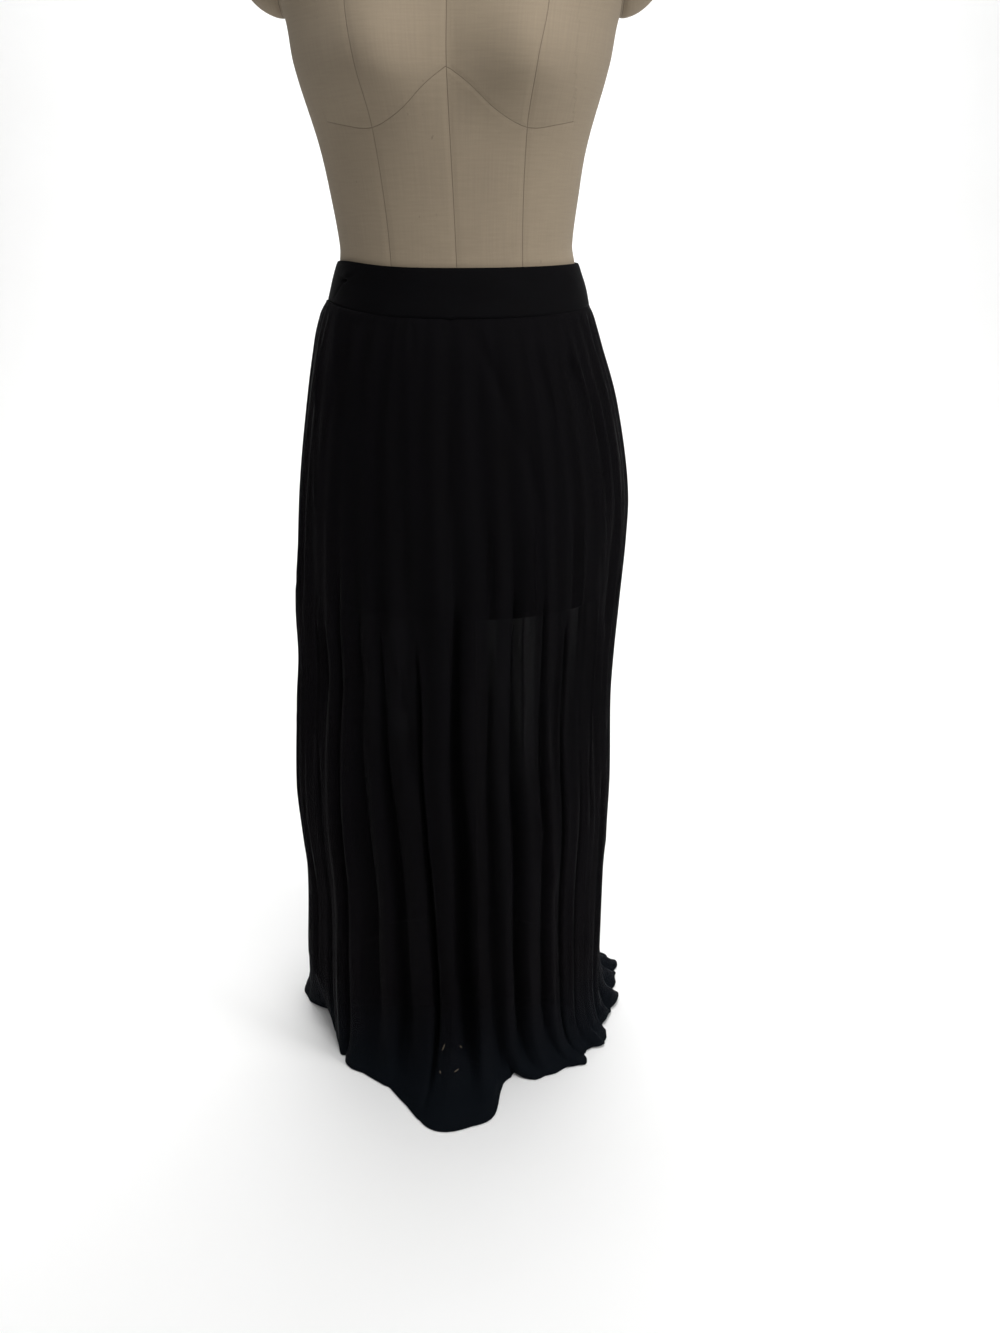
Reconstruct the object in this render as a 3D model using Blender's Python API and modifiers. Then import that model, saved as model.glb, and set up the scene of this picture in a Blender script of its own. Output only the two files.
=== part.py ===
"""Pleated chiffon maxi skirt worn by a limbless dress form on a pole and cross foot.

Metres, +Z up, the front of the skirt faces -Y and the viewer's right is +X. The origin is on
the floor under the pole. Outlines are read at a height from tables of sections, and a turn of 0
is the centre front, +90 degrees the viewer's right side.
"""

import math
from collections import namedtuple

import bmesh
import bpy
from mathutils import Vector

# Garment sizes
BAND_TOP = 0.9335
BAND_BOTTOM = 0.8868
BAND_DIP = 0.002
BAND_WALL = 0.0025
SKIRT_TOP = BAND_BOTTOM - 0.0003
SKIRT_WALL = 0.0015
FOOT = 0.085
FLOOR_GAP = 0.0007
LINING_TOP = 0.8852
LINING_SEAM = 0.0004
LINING_BOTTOM = 0.580
LINING_WALL = 0.001
LINING_EASE = 0.002
SEAT_LEVEL = 0.700
SEAM_GAP = 0.0005
PLEATS_AROUND = 44
COLUMNS_PER_PLEAT = 4
WIDE_GAP = 1.5
LEAN_LEVEL = 0.80
HEM_RIPPLE = 0.004
HEM_FOLLOWS_FOLD = 0.35
LEAST_POOL = -0.020

# Dress form and stand sizes
FORM_BOTTOM = 0.572
NECK_TOP = 1.430
ARMHOLE_LEFT = 0.1655
ARMHOLE_RIGHT = 0.1612
ARM_CAP_REACH = 0.050
ARM_CAP_ROWS = 6
ARM_CAP_LEVELS = 11
BUST_POINT = Vector((0.078, 0.0, 1.112))
BUST_RISE = 0.026
BUST_SPREAD_X = 0.052
BUST_SPREAD_UP = 0.060
BUST_SPREAD_DOWN = 0.045
NECK_CAP_RADIUS = 0.050
NECK_CAP_THICK = 0.009
POLE_RADIUS = 0.016
HUB_RADIUS = 0.036
HUB_HEIGHT = 0.030
LEG_LENGTH = 0.145
LEG_WIDTH = 0.034
LEG_HEIGHT = 0.014
SEAT_GAP = 0.0003
OUTLINE_POWER = 2 / 2.2

# Zip pull sizes
ZIP_LEVEL = 0.9245
ZIP_STANDOFF = 0.0021
BRIDGE_WIDTH = 0.0016
PULL_THICK = 0.0010

Section = namedtuple("Section", "name z left right front back")
Depth = namedtuple("Depth", "name z pleat fold")
Fold = namedtuple("Fold", "name place lean depth")
Hem = namedtuple("Hem", "name turn reach")
Floor = namedtuple("Floor", "name share height ripple")
Span = namedtuple("Span", "name top bottom steps")

FORM = (
    Section("bottom edge", 0.572, 0.1560, 0.1560, 0.1080, 0.1380),
    Section("thigh", 0.640, 0.1655, 0.1655, 0.1160, 0.1480),
    Section("seat", 0.700, 0.1665, 0.1665, 0.1180, 0.1500),
    Section("low hip", 0.750, 0.1630, 0.1630, 0.1160, 0.1460),
    Section("hip bone", 0.790, 0.1570, 0.1570, 0.1130, 0.1385),
    Section("high hip", 0.854, 0.1435, 0.1435, 0.1070, 0.1200),
    Section("belly", 0.887, 0.1330, 0.1330, 0.1010, 0.1062),
    Section("low waist", 0.915, 0.1256, 0.1252, 0.0930, 0.0965),
    Section("band top", 0.9335, 0.1230, 0.1226, 0.0903, 0.0930),
    Section("waist", 0.950, 0.1222, 0.1200, 0.0895, 0.0915),
    Section("rib", 0.995, 0.1286, 0.1250, 0.0920, 0.0925),
    Section("under bust", 1.045, 0.1382, 0.1328, 0.1000, 0.0990),
    Section("bust", 1.118, 0.1588, 0.1530, 0.1120, 0.1120),
    Section("underarm", 1.158, 0.1650, 0.1606, 0.1125, 0.1180),
    Section("armhole", 1.200, 0.1800, 0.1750, 0.1070, 0.1180),
    Section("chest", 1.240, 0.1855, 0.1800, 0.0980, 0.1120),
    Section("shoulder ball", 1.275, 0.1790, 0.1730, 0.0860, 0.1020),
    Section("shoulder", 1.303, 0.1560, 0.1510, 0.0740, 0.0880),
    Section("shoulder slope", 1.325, 0.1190, 0.1150, 0.0640, 0.0750),
    Section("neck root", 1.345, 0.0800, 0.0770, 0.0570, 0.0640),
    Section("neck", 1.372, 0.0580, 0.0565, 0.0530, 0.0560),
    Section("neck top", 1.430, 0.0535, 0.0525, 0.0530, 0.0540),
)

# Levels of the form's rows, close together where it curves most.
SPANS = (
    Span("neck", 1.430, 1.360, 2),
    Span("shoulder", 1.360, 1.200, 10),
    Span("bust", 1.200, 1.040, 13),
    Span("waist", 1.040, 0.934, 4),
    Span("under the skirt", 0.934, 0.572, 6),
)

BAND = (
    Section("bottom edge", 0.8868, 0.1398, 0.1405, 0.1085, 0.1140),
    Section("middle", 0.9080, 0.1338, 0.1348, 0.1010, 0.1052),
    Section("top edge", 0.9335, 0.1262, 0.1266, 0.0936, 0.0964),
)

SKIRT = (
    Section("foot", 0.085, 0.2020, 0.1750, 0.1570, 0.1700),
    Section("calf", 0.210, 0.2000, 0.1765, 0.1550, 0.1680),
    Section("under knee", 0.325, 0.2050, 0.1803, 0.1535, 0.1680),
    Section("knee", 0.445, 0.2005, 0.1788, 0.1500, 0.1680),
    Section("thigh", 0.559, 0.1944, 0.1843, 0.1455, 0.1680),
    Section("low seat", 0.632, 0.1876, 0.1892, 0.1415, 0.1670),
    Section("seat", 0.701, 0.1812, 0.1895, 0.1380, 0.1640),
    Section("hip bone", 0.790, 0.1676, 0.1745, 0.1320, 0.1530),
    Section("high hip", 0.854, 0.1542, 0.1532, 0.1210, 0.1330),
    Section("band seam", 0.8865, 0.1398, 0.1405, 0.1085, 0.1140),
)

# How far pleats, and the deeper folds of two pleats each, stand either side of their mean.
DEPTHS = (
    Depth("hem", 0.000, 0.0012, 0.0080),
    Depth("foot", 0.085, 0.0018, 0.0088),
    Depth("calf", 0.300, 0.0022, 0.0074),
    Depth("knee", 0.460, 0.0022, 0.0050),
    Depth("thigh", 0.600, 0.0016, 0.0020),
    Depth("seat", 0.720, 0.0011, 0.0008),
    Depth("high hip", 0.830, 0.0007, 0.0002),
    Depth("gathers", 0.868, 0.0004, 0.0000),
    Depth("band seam", 0.8865, 0.0000, 0.0000),
)

# One row for each larger fold that the pleats fall into lower down, from the left side seam across
# the front and on round: where it starts, counted in pleats, how many degrees it leans by the
# floor, and its depth against DEPTHS.
FOLDS = (
    Fold("left seam", 0.70, 1.0, 0.90),
    Fold("left side 1", 2.08, 2.0, 1.00),
    Fold("left side 2", 3.55, 2.0, 0.90),
    Fold("left side 3", 5.00, 1.0, 1.00),
    Fold("left front 1", 6.30, 0.0, 1.00),
    Fold("left front 2", 7.20, 8.0, 0.90),
    Fold("left front 3", 8.30, 13.0, 1.10),
    Fold("lobe", 10.04, 4.0, 1.25),
    Fold("centre front", 11.54, 3.0, 1.00),
    Fold("right front 1", 12.40, 6.0, 0.90),
    Fold("right front 2", 13.59, 8.0, 1.10),
    Fold("right front 3", 14.60, 10.0, 0.50),
    Fold("right front 4", 15.95, 8.0, 1.10),
    Fold("right side 1", 16.88, 10.0, 0.80),
    Fold("right side 2", 17.75, 11.0, 0.80),
    Fold("right side 3", 19.40, 9.0, 0.90),
    Fold("right seam", 21.20, 6.0, 0.90),
    Fold("right back 1", 22.80, 4.0, 1.00),
    Fold("right back 2", 24.10, 2.0, 0.85),
    Fold("right back 3", 25.40, 0.0, 1.10),
    Fold("right back 4", 26.60, -2.0, 0.90),
    Fold("right back 5", 27.80, -4.0, 1.05),
    Fold("right back 6", 29.20, -5.0, 1.15),
    Fold("right back 7", 30.70, -3.0, 0.85),
    Fold("right back 8", 32.25, -1.0, 0.95),
    Fold("centre back", 33.75, 0.0, 1.20),
    Fold("left back 8", 35.10, 2.0, 0.90),
    Fold("left back 7", 36.20, 4.0, 0.85),
    Fold("left back 6", 37.60, 6.0, 1.15),
    Fold("left back 5", 38.80, 5.0, 0.90),
    Fold("left back 4", 40.10, 3.0, 1.05),
    Fold("left back 3", 41.70, 1.0, 0.90),
    Fold("left back 2", 43.30, 0.0, 1.00),
)

# How far the hem lies from the pole, in metres, at each turn in degrees.
HEM = (
    Hem("left seam", -97.0, 0.222),
    Hem("left corner", -91.5, 0.219),
    Hem("left step", -84.0, 0.188),
    Hem("left tuck", -77.5, 0.171),
    Hem("left front fold", -62.0, 0.190),
    Hem("front left", -46.0, 0.202),
    Hem("lobe starts", -31.0, 0.201),
    Hem("lobe side", -19.0, 0.219),
    Hem("lobe left", -8.0, 0.248),
    Hem("lobe tip", 1.0, 0.244),
    Hem("lobe right", 9.5, 0.226),
    Hem("lobe ends", 15.0, 0.181),
    Hem("front tuck", 23.0, 0.170),
    Hem("front fold", 31.0, 0.187),
    Hem("right front", 42.0, 0.188),
    Hem("scallop 1", 48.5, 0.201),
    Hem("scallop gap", 55.0, 0.188),
    Hem("scallop 2", 61.0, 0.202),
    Hem("right gap", 73.0, 0.190),
    Hem("right seam", 88.0, 0.202),
    Hem("right step", 101.0, 0.206),
    Hem("scallop 3", 112.0, 0.222),
    Hem("back gap 1", 131.0, 0.192),
    Hem("back fold 1", 145.0, 0.212),
    Hem("back gap 2", 158.0, 0.199),
    Hem("back lobe", 177.0, 0.238),
    Hem("back gap 3", 199.0, 0.199),
    Hem("back fold 2", 213.0, 0.213),
    Hem("back gap 4", 227.0, 0.194),
    Hem("back fold 3", 241.0, 0.209),
    Hem("back gap 5", 252.0, 0.199),
    Hem("left seam again", 263.0, 0.222),
)

# The way down from FOOT: share of the pool covered, height, and share of the ripple.
FLOOR = (
    Floor("bend starts", 0.13, 0.0460, 0.0),
    Floor("bend", 0.40, 0.0180, 0.5),
    Floor("touch down", 0.68, 0.0068, 1.0),
    Floor("hem edge", 1.00, SKIRT_WALL + FLOOR_GAP, 1.0),
)

SKIRT_ROWS = (SKIRT_TOP, 0.868, 0.830, 0.765, 0.680, 0.590, 0.490, 0.370, 0.220, FOOT)
BAND_ROWS = 4
LINING_ROWS = (LINING_TOP, 0.868, 0.800, 0.750, 0.700, LINING_BOTTOM)
FORM_COLUMNS = 48
FRONT_DENSITY = 0.35


def clear_scene():
    for obj in list(bpy.data.objects):
        bpy.data.objects.remove(obj, do_unlink=True)


def new_collection(name):
    collection = bpy.data.collections.new(name)
    bpy.context.scene.collection.children.link(collection)
    return collection


def material(name, colour, roughness, metallic=0.0):
    made = bpy.data.materials.new(name)
    made.use_nodes = True
    shader = made.node_tree.nodes["Principled BSDF"]
    shader.inputs["Base Color"].default_value = (*colour, 1.0)
    shader.inputs["Roughness"].default_value = roughness
    shader.inputs["Metallic"].default_value = metallic
    return made


def add_object(name, data, look, collection):
    obj = bpy.data.objects.new(name, data)
    obj.data.materials.append(look)
    collection.objects.link(obj)
    return obj


def curve_value(rows, at, key, column):
    """One column of a table at a place, on a smooth curve through its rows."""
    keys = [getattr(row, key) for row in rows]
    values = [getattr(row, column) for row in rows]
    at = min(max(at, keys[0]), keys[-1])
    i = max(n for n in range(len(keys) - 1) if keys[n] <= at)

    def slope(n):
        before, after = max(n - 1, 0), min(n + 1, len(keys) - 1)
        return (values[after] - values[before]) / (keys[after] - keys[before])

    span = keys[i + 1] - keys[i]
    t = (at - keys[i]) / span
    return (
        (2 * t**3 - 3 * t**2 + 1) * values[i]
        + (t**3 - 2 * t**2 + t) * span * slope(i)
        + (3 * t**2 - 2 * t**3) * values[i + 1]
        + (t**3 - t**2) * span * slope(i + 1)
    )


def outline_point(sections, z, turn, inset=0.0):
    """Point on the outline at a height: a rounded oval with its own left, right, front and back."""
    across, along = math.sin(turn), math.cos(turn)
    half_x = curve_value(sections, z, "z", "right" if across > 0 else "left") - inset
    half_y = curve_value(sections, z, "z", "front" if along > 0 else "back") - inset
    x = math.copysign(half_x * abs(across) ** OUTLINE_POWER, across)
    y = -math.copysign(half_y * abs(along) ** OUTLINE_POWER, along)
    return Vector((x, y, z))


def loft(name, rows, look, collection, ring=False):
    """A surface through rows of points, the first row at the top and each row running towards +X
    across the front, so that its faces point out. A ring is closed, with a face at each end."""
    count = len(rows[0])
    mesh = bpy.data.meshes.new(name)
    bm = bmesh.new()
    verts = [[bm.verts.new(point) for point in row] for row in rows]
    for upper, lower in zip(verts, verts[1:]):
        for j in range(count if ring else count - 1):
            k = (j + 1) % count
            bm.faces.new((upper[j], lower[j], lower[k], upper[k]))
    if ring:
        bm.faces.new(verts[0])
        bm.faces.new(list(reversed(verts[-1])))
        bmesh.ops.recalc_face_normals(bm, faces=bm.faces)
    for face in bm.faces:
        face.smooth = True
    bm.to_mesh(mesh)
    bm.free()
    mesh.set_sharp_from_angle(angle=math.radians(50))
    return add_object(name, mesh, look, collection)


def give_wall(obj, thickness):
    wall = obj.modifiers.new("wall", "SOLIDIFY")
    wall.thickness = thickness
    wall.offset = -1.0
    wall.use_quality_normals = True


def fold_gap(place):
    """The folds either side of a place counted in pleats round the skirt, the way between them
    from 0 to 1, and the width of the gap in pleats."""
    starts = [fold.place for fold in FOLDS]
    at = (place - starts[0]) % PLEATS_AROUND + starts[0]
    i = max(n for n in range(len(starts)) if starts[n] <= at)
    k = (i + 1) % len(starts)
    width = (starts[k] - starts[i]) % PLEATS_AROUND
    return FOLDS[i], FOLDS[k], (at - starts[i]) / width, width


def valley(place):
    """The share of the full depth at a place: nothing on a fold's ridge, most midway to the next.
    Where two folds lie close, the valley between them is shallower."""
    first, second, way, width = fold_gap(place)
    depth = (first.depth + second.depth) / 2 * min(1.0, width / WIDE_GAP)
    return depth * (1 - math.cos(2 * math.pi * way))


def fold_inset(place, z):
    """How far the cloth lies inside its outline."""
    pleat = curve_value(DEPTHS, z, "z", "pleat") * (1 - math.sin(2 * math.pi * place))
    return pleat + curve_value(DEPTHS, z, "z", "fold") * valley(place)


def skirt_turn(place, z):
    """The turn of a column at a height: folds lean more the lower they hang."""
    first, second, way, _ = fold_gap(place)
    smooth = way * way * (3 - 2 * way)
    lean = math.radians(first.lean + (second.lean - first.lean) * smooth)
    drop = min(max((LEAN_LEVEL - z) / LEAN_LEVEL, 0.0), 1.0)
    return -math.pi / 2 + 2 * math.pi * place / PLEATS_AROUND + lean * drop


def hem_reach(turn):
    degrees = (math.degrees(turn) - HEM[0].turn) % 360.0 + HEM[0].turn
    return curve_value(HEM, degrees, "turn", "reach")


def floor_points(place, foot):
    """The last points of a column: it bends out near the floor and lies on it as far as the hem."""
    inset = fold_inset(place, 0.0)
    start = math.hypot(foot.x, foot.y)
    turn = math.atan2(foot.x, -foot.y)
    pool = max(hem_reach(turn) - HEM_FOLLOWS_FOLD * inset - start, LEAST_POOL)
    ridge = 1 - valley(place) / 2
    points = []
    for step in FLOOR:
        reach = start + pool * step.share
        height = step.height + HEM_RIPPLE * ridge * step.ripple
        points.append(Vector((reach * math.sin(turn), -reach * math.cos(turn), height)))
    return points


def skirt_panel(name, first, last, look, collection):
    """One panel between two places counted in pleats, held half a seam gap inside each."""
    radius = 0.17
    trim = SEAM_GAP / 2 / (2 * math.pi * radius) * PLEATS_AROUND
    steps = (last - first) * COLUMNS_PER_PLEAT
    places = [first + n / COLUMNS_PER_PLEAT for n in range(steps + 1)]
    places[0] += trim
    places[-1] -= trim
    columns = []
    for place in places:
        column = [
            outline_point(SKIRT, z, skirt_turn(place, z), fold_inset(place, z)) for z in SKIRT_ROWS
        ]
        columns.append(column + floor_points(place, column[-1]))
    rows = [list(row) for row in zip(*columns)]
    panel = loft(name, rows, look, collection)
    give_wall(panel, SKIRT_WALL)
    return panel


def turns_between(first, last, count):
    """Turns from one seam to the next, in radians, held half a seam gap inside each."""
    trim = SEAM_GAP / 2 / 0.12
    first, last = math.radians(first) + trim, math.radians(last) - trim
    return [first + (last - first) * n / count for n in range(count + 1)]


def band_piece(name, first, last, count, look, collection):
    rows = []
    for n in range(BAND_ROWS + 1):
        share = n / BAND_ROWS
        row = []
        for turn in turns_between(first, last, count):
            top = BAND_TOP - BAND_DIP * max(math.cos(turn), 0.0) ** 2
            row.append(outline_point(BAND, top + (BAND_BOTTOM - top) * share, turn))
        rows.append(row)
    piece = loft(name, rows, look, collection)
    give_wall(piece, BAND_WALL)
    return piece


def lining_piece(name, first, last, count, look, collection):
    """A plain slip that follows the form down to the seat and hangs straight below it."""
    ease = -(LINING_EASE + LINING_WALL)
    rows = []
    for z in LINING_ROWS:
        row = []
        for turn in turns_between(first, last, count):
            if z == LINING_TOP:
                point = outline_point(SKIRT, z, turn, SKIRT_WALL + LINING_SEAM)
            else:
                point = outline_point(FORM, max(z, SEAT_LEVEL), turn, ease)
            point.z = z
            row.append(point)
        rows.append(row)
    piece = loft(name, rows, look, collection)
    give_wall(piece, LINING_WALL)
    return piece


def bust_rise(point):
    """How far the front is pushed out by the bust at a point of the plain outline."""
    if point.y > 0:
        return 0.0
    across = (abs(point.x) - BUST_POINT.x) / BUST_SPREAD_X
    spread = BUST_SPREAD_UP if point.z > BUST_POINT.z else BUST_SPREAD_DOWN
    up = (point.z - BUST_POINT.z) / spread
    return BUST_RISE * math.exp(-(across**2) - up**2)


def armhole(side):
    """Distance of the flat armhole from the middle, and the levels its outline spans."""
    name, x = ("right", ARMHOLE_RIGHT) if side > 0 else ("left", ARMHOLE_LEFT)
    levels = [1.10 + 0.001 * n for n in range(250)]
    inside = [z for z in levels if curve_value(FORM, z, "z", name) > x]
    return x, min(inside), max(inside)


def armhole_rim(side):
    """Points round the armhole, where the form's outline crosses its plane."""
    x, low, high = armhole(side)
    name = "right" if side > 0 else "left"
    power = 2 / OUTLINE_POWER
    rims = {"front": [], "back": []}
    for n in range(ARM_CAP_LEVELS):
        z = (low + high) / 2 - (high - low) / 2 * math.cos(math.pi * (n + 0.5) / ARM_CAP_LEVELS)
        share = (1 - (x / curve_value(FORM, z, "z", name)) ** power) ** (1 / power)
        for half, sign in (("front", -1), ("back", 1)):
            y = sign * share * curve_value(FORM, z, "z", half)
            rims[half].append(Vector((side * x, y, z)))
    return rims["front"] + list(reversed(rims["back"]))


def armhole_cutter(name, side, collection):
    """A box whose inner face is the flat armhole on one side of the form."""
    x, low, high = armhole(side)
    size = Vector((0.080, 0.300, high - low + 0.060))
    mesh = bpy.data.meshes.new(name)
    bm = bmesh.new()
    bmesh.ops.create_cube(bm, size=1.0)
    bmesh.ops.scale(bm, vec=size, verts=bm.verts)
    bm.to_mesh(mesh)
    bm.free()
    cutter = bpy.data.objects.new(name, mesh)
    cutter.location = (side * (x + size.x / 2), 0.0, (low + high) / 2)
    cutter.hide_render = True
    cutter.display_type = "WIRE"
    collection.objects.link(cutter)
    return cutter


def form_torso(look, collection, cutters):
    levels = [SPANS[0].top]
    for span in SPANS:
        step = (span.bottom - span.top) / span.steps
        levels += [span.top + step * (n + 1) for n in range(span.steps)]
    rows = []
    for z in levels:
        row = []
        for k in range(FORM_COLUMNS):
            even = 2 * math.pi * k / FORM_COLUMNS
            point = outline_point(FORM, z, even - FRONT_DENSITY * math.sin(even))
            point.y -= bust_rise(point)
            row.append(point)
        rows.append(row)
    torso = loft("form_torso", rows, look, collection, ring=True)
    for name, side in (("left", -1), ("right", 1)):
        cut = torso.modifiers.new("armhole " + name, "BOOLEAN")
        cut.operation = "DIFFERENCE"
        cut.object = armhole_cutter("armhole_" + name, side, cutters)
    return torso


def arm_cap(name, side, look, collection):
    """A rounded stub on the armhole's flat, with the same rim."""
    rim = armhole_rim(side)
    centre = sum(rim, Vector()) / len(rim)
    rows = []
    for n in range(ARM_CAP_ROWS):
        angle = math.pi / 2 * n / (ARM_CAP_ROWS - 0.5)
        out = Vector((side * (SEAT_GAP + ARM_CAP_REACH * math.sin(angle)), 0.0, 0.0))
        rows.append([centre + (point - centre) * math.cos(angle) + out for point in rim])
    return loft(name, rows, look, collection, ring=True)


def cylinder(name, radius, bottom, top, sides, look, collection):
    mesh = bpy.data.meshes.new(name)
    bm = bmesh.new()
    bmesh.ops.create_cone(
        bm, cap_ends=True, segments=sides, radius1=radius, radius2=radius, depth=top - bottom
    )
    for face in bm.faces:
        face.smooth = len(face.verts) == 4
    bm.to_mesh(mesh)
    bm.free()
    made = add_object(name, mesh, look, collection)
    made.location.z = (bottom + top) / 2
    return made


def cross_foot(look, collection, cutters):
    """A hub with two bars across it, flat on the floor."""
    hub = cylinder("stand_base", HUB_RADIUS, 0.0, HUB_HEIGHT, 24, look, collection)
    for name, size in (
        ("bar_across", (2 * LEG_LENGTH, LEG_WIDTH, LEG_HEIGHT)),
        ("bar_along", (LEG_WIDTH, 2 * LEG_LENGTH, LEG_HEIGHT)),
    ):
        mesh = bpy.data.meshes.new(name)
        bm = bmesh.new()
        bmesh.ops.create_cube(bm, size=1.0)
        bmesh.ops.scale(bm, vec=size, verts=bm.verts)
        bm.to_mesh(mesh)
        bm.free()
        bar = bpy.data.objects.new(name, mesh)
        bar.location.z = LEG_HEIGHT / 2
        bar.hide_render = True
        bar.display_type = "WIRE"
        cutters.objects.link(bar)
        join = hub.modifiers.new(name, "BOOLEAN")
        join.operation = "UNION"
        join.object = bar
    return hub


def flat_shape(name, outlines, thickness, look, collection):
    """A flat plate from closed outlines in its own XY plane; later outlines are holes."""
    curve = bpy.data.curves.new(name, "CURVE")
    curve.dimensions = "2D"
    curve.fill_mode = "BOTH"
    curve.extrude = thickness / 2
    for points in outlines:
        spline = curve.splines.new("POLY")
        spline.points.add(len(points) - 1)
        for slot, (x, y) in zip(spline.points, points):
            slot.co = (x, y, 0.0, 1.0)
        spline.use_cyclic_u = True
    return add_object(name, curve, look, collection)


def rectangle(low_x, low_y, high_x, high_y):
    return [(low_x, low_y), (high_x, low_y), (high_x, high_y), (low_x, high_y)]


def zip_pieces(look, collection):
    """The slider's bridge on the centre back of the band, and the pull that hangs through it."""
    top = outline_point(BAND, BAND_TOP, math.pi)
    bottom = outline_point(BAND, BAND_BOTTOM, math.pi)
    slope = math.atan2(bottom.y - top.y, top.z - bottom.z)
    surface = outline_point(BAND, ZIP_LEVEL, math.pi)
    out = Vector((0.0, math.cos(slope), math.sin(slope)))
    pivot = bpy.data.objects.new("pull_pivot", None)
    pivot.location = surface + out * ZIP_STANDOFF
    pivot.rotation_euler.x = slope
    collection.objects.link(pivot)

    hole, post, base = 0.0010, 0.0010, 0.0008
    bridge = flat_shape(
        "zip_slider",
        [
            rectangle(-hole - base, -hole - post, hole + post, hole * 1.4 + post),
            rectangle(-hole, -hole, hole, hole * 1.4),
        ],
        BRIDGE_WIDTH,
        look,
        collection,
    )
    bridge.parent = pivot
    bridge.rotation_euler = (math.pi / 2, 0.0, math.pi / 2)

    ring, bar, length, bulb = 0.0026, 0.0005, 0.0200, 0.0032
    tab = [(-ring, bar), (-ring, -0.0045), (-0.0012, -0.0070), (-0.0016, -0.0100)]
    arc = [math.radians(205 + 130 * n / 8) for n in range(9)]
    end = [(bulb * math.cos(a), bulb * math.sin(a) - length + bulb) for a in arc]
    outline = tab + end + [(-x, y) for x, y in reversed(tab)]
    opening = rectangle(-0.0016, -0.0034, 0.0016, -bar)
    pull = flat_shape("zip_pull", [outline, opening], PULL_THICK, look, collection)
    pull.parent = pivot
    pull.rotation_euler.x = math.pi / 2
    return bridge, pull


def main():
    clear_scene()
    parts = new_collection("maxi_skirt_on_dress_form")
    cutters = new_collection("cutters")
    chiffon = material("black chiffon", (0.006, 0.006, 0.008), 0.75)
    band_crepe = material("black band crepe", (0.005, 0.005, 0.006), 0.65)
    lining_satin = material("black lining satin", (0.004, 0.004, 0.005), 0.45)
    linen = material("form linen", (0.42, 0.35, 0.27), 0.85)
    steel = material("stand steel", (0.55, 0.55, 0.55), 0.35, 1.0)
    wood = material("neck cap wood", (0.30, 0.19, 0.10), 0.5)

    form_torso(linen, parts, cutters)
    arm_cap("form_arm_cap_left", -1, linen, parts)
    arm_cap("form_arm_cap_right", 1, linen, parts)
    neck_base = NECK_TOP + SEAT_GAP
    cylinder(
        "form_neck_cap", NECK_CAP_RADIUS, neck_base, neck_base + NECK_CAP_THICK, 32, wood, parts
    )
    cylinder(
        "stand_pole", POLE_RADIUS, HUB_HEIGHT + SEAT_GAP, FORM_BOTTOM - SEAT_GAP, 20, steel, parts
    )
    cross_foot(steel, parts, cutters)

    band_piece("waistband_front", -90, 90, 30, band_crepe, parts)
    band_piece("waistband_back_right", 90, 180, 15, band_crepe, parts)
    band_piece("waistband_back_left", 180, 270, 15, band_crepe, parts)
    skirt_panel("skirt_front", 0, 22, chiffon, parts)
    skirt_panel("skirt_back_right", 22, 33, chiffon, parts)
    skirt_panel("skirt_back_left", 33, 44, chiffon, parts)
    lining_piece("lining_front", -90, 90, 28, lining_satin, parts)
    lining_piece("lining_back", 90, 270, 28, lining_satin, parts)
    zip_pieces(steel, parts)


main()
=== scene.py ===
# Black pleated chiffon maxi skirt with a smooth waistband and a short lining, worn by a
# linen-covered dress form on a steel pole and a cross foot.
# Blender 4.5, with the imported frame. Metres, +Z up, the front faces -Y.
from collections import namedtuple
from functools import cache
from math import asin, atan2, copysign, cos, degrees, exp, hypot, pi, radians, sin

import bmesh
import bpy
from mathutils import Matrix, Vector, noise


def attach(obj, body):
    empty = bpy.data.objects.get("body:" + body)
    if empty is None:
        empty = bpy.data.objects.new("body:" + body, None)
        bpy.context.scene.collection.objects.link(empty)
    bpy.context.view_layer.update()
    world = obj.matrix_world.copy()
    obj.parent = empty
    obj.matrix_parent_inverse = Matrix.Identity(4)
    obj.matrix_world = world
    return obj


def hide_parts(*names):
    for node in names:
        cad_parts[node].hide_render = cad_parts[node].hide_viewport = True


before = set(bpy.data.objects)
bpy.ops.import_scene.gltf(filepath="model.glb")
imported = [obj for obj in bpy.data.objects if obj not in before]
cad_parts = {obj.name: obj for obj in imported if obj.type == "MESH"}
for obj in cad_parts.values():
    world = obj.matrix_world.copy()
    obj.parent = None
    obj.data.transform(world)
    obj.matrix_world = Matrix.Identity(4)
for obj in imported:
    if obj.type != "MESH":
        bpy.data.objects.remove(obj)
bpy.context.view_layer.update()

scene = bpy.context.scene
wornBody = "dressed_form"


def asRows(kind, *rows):
    return tuple(kind(*row) for row in rows)


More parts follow.
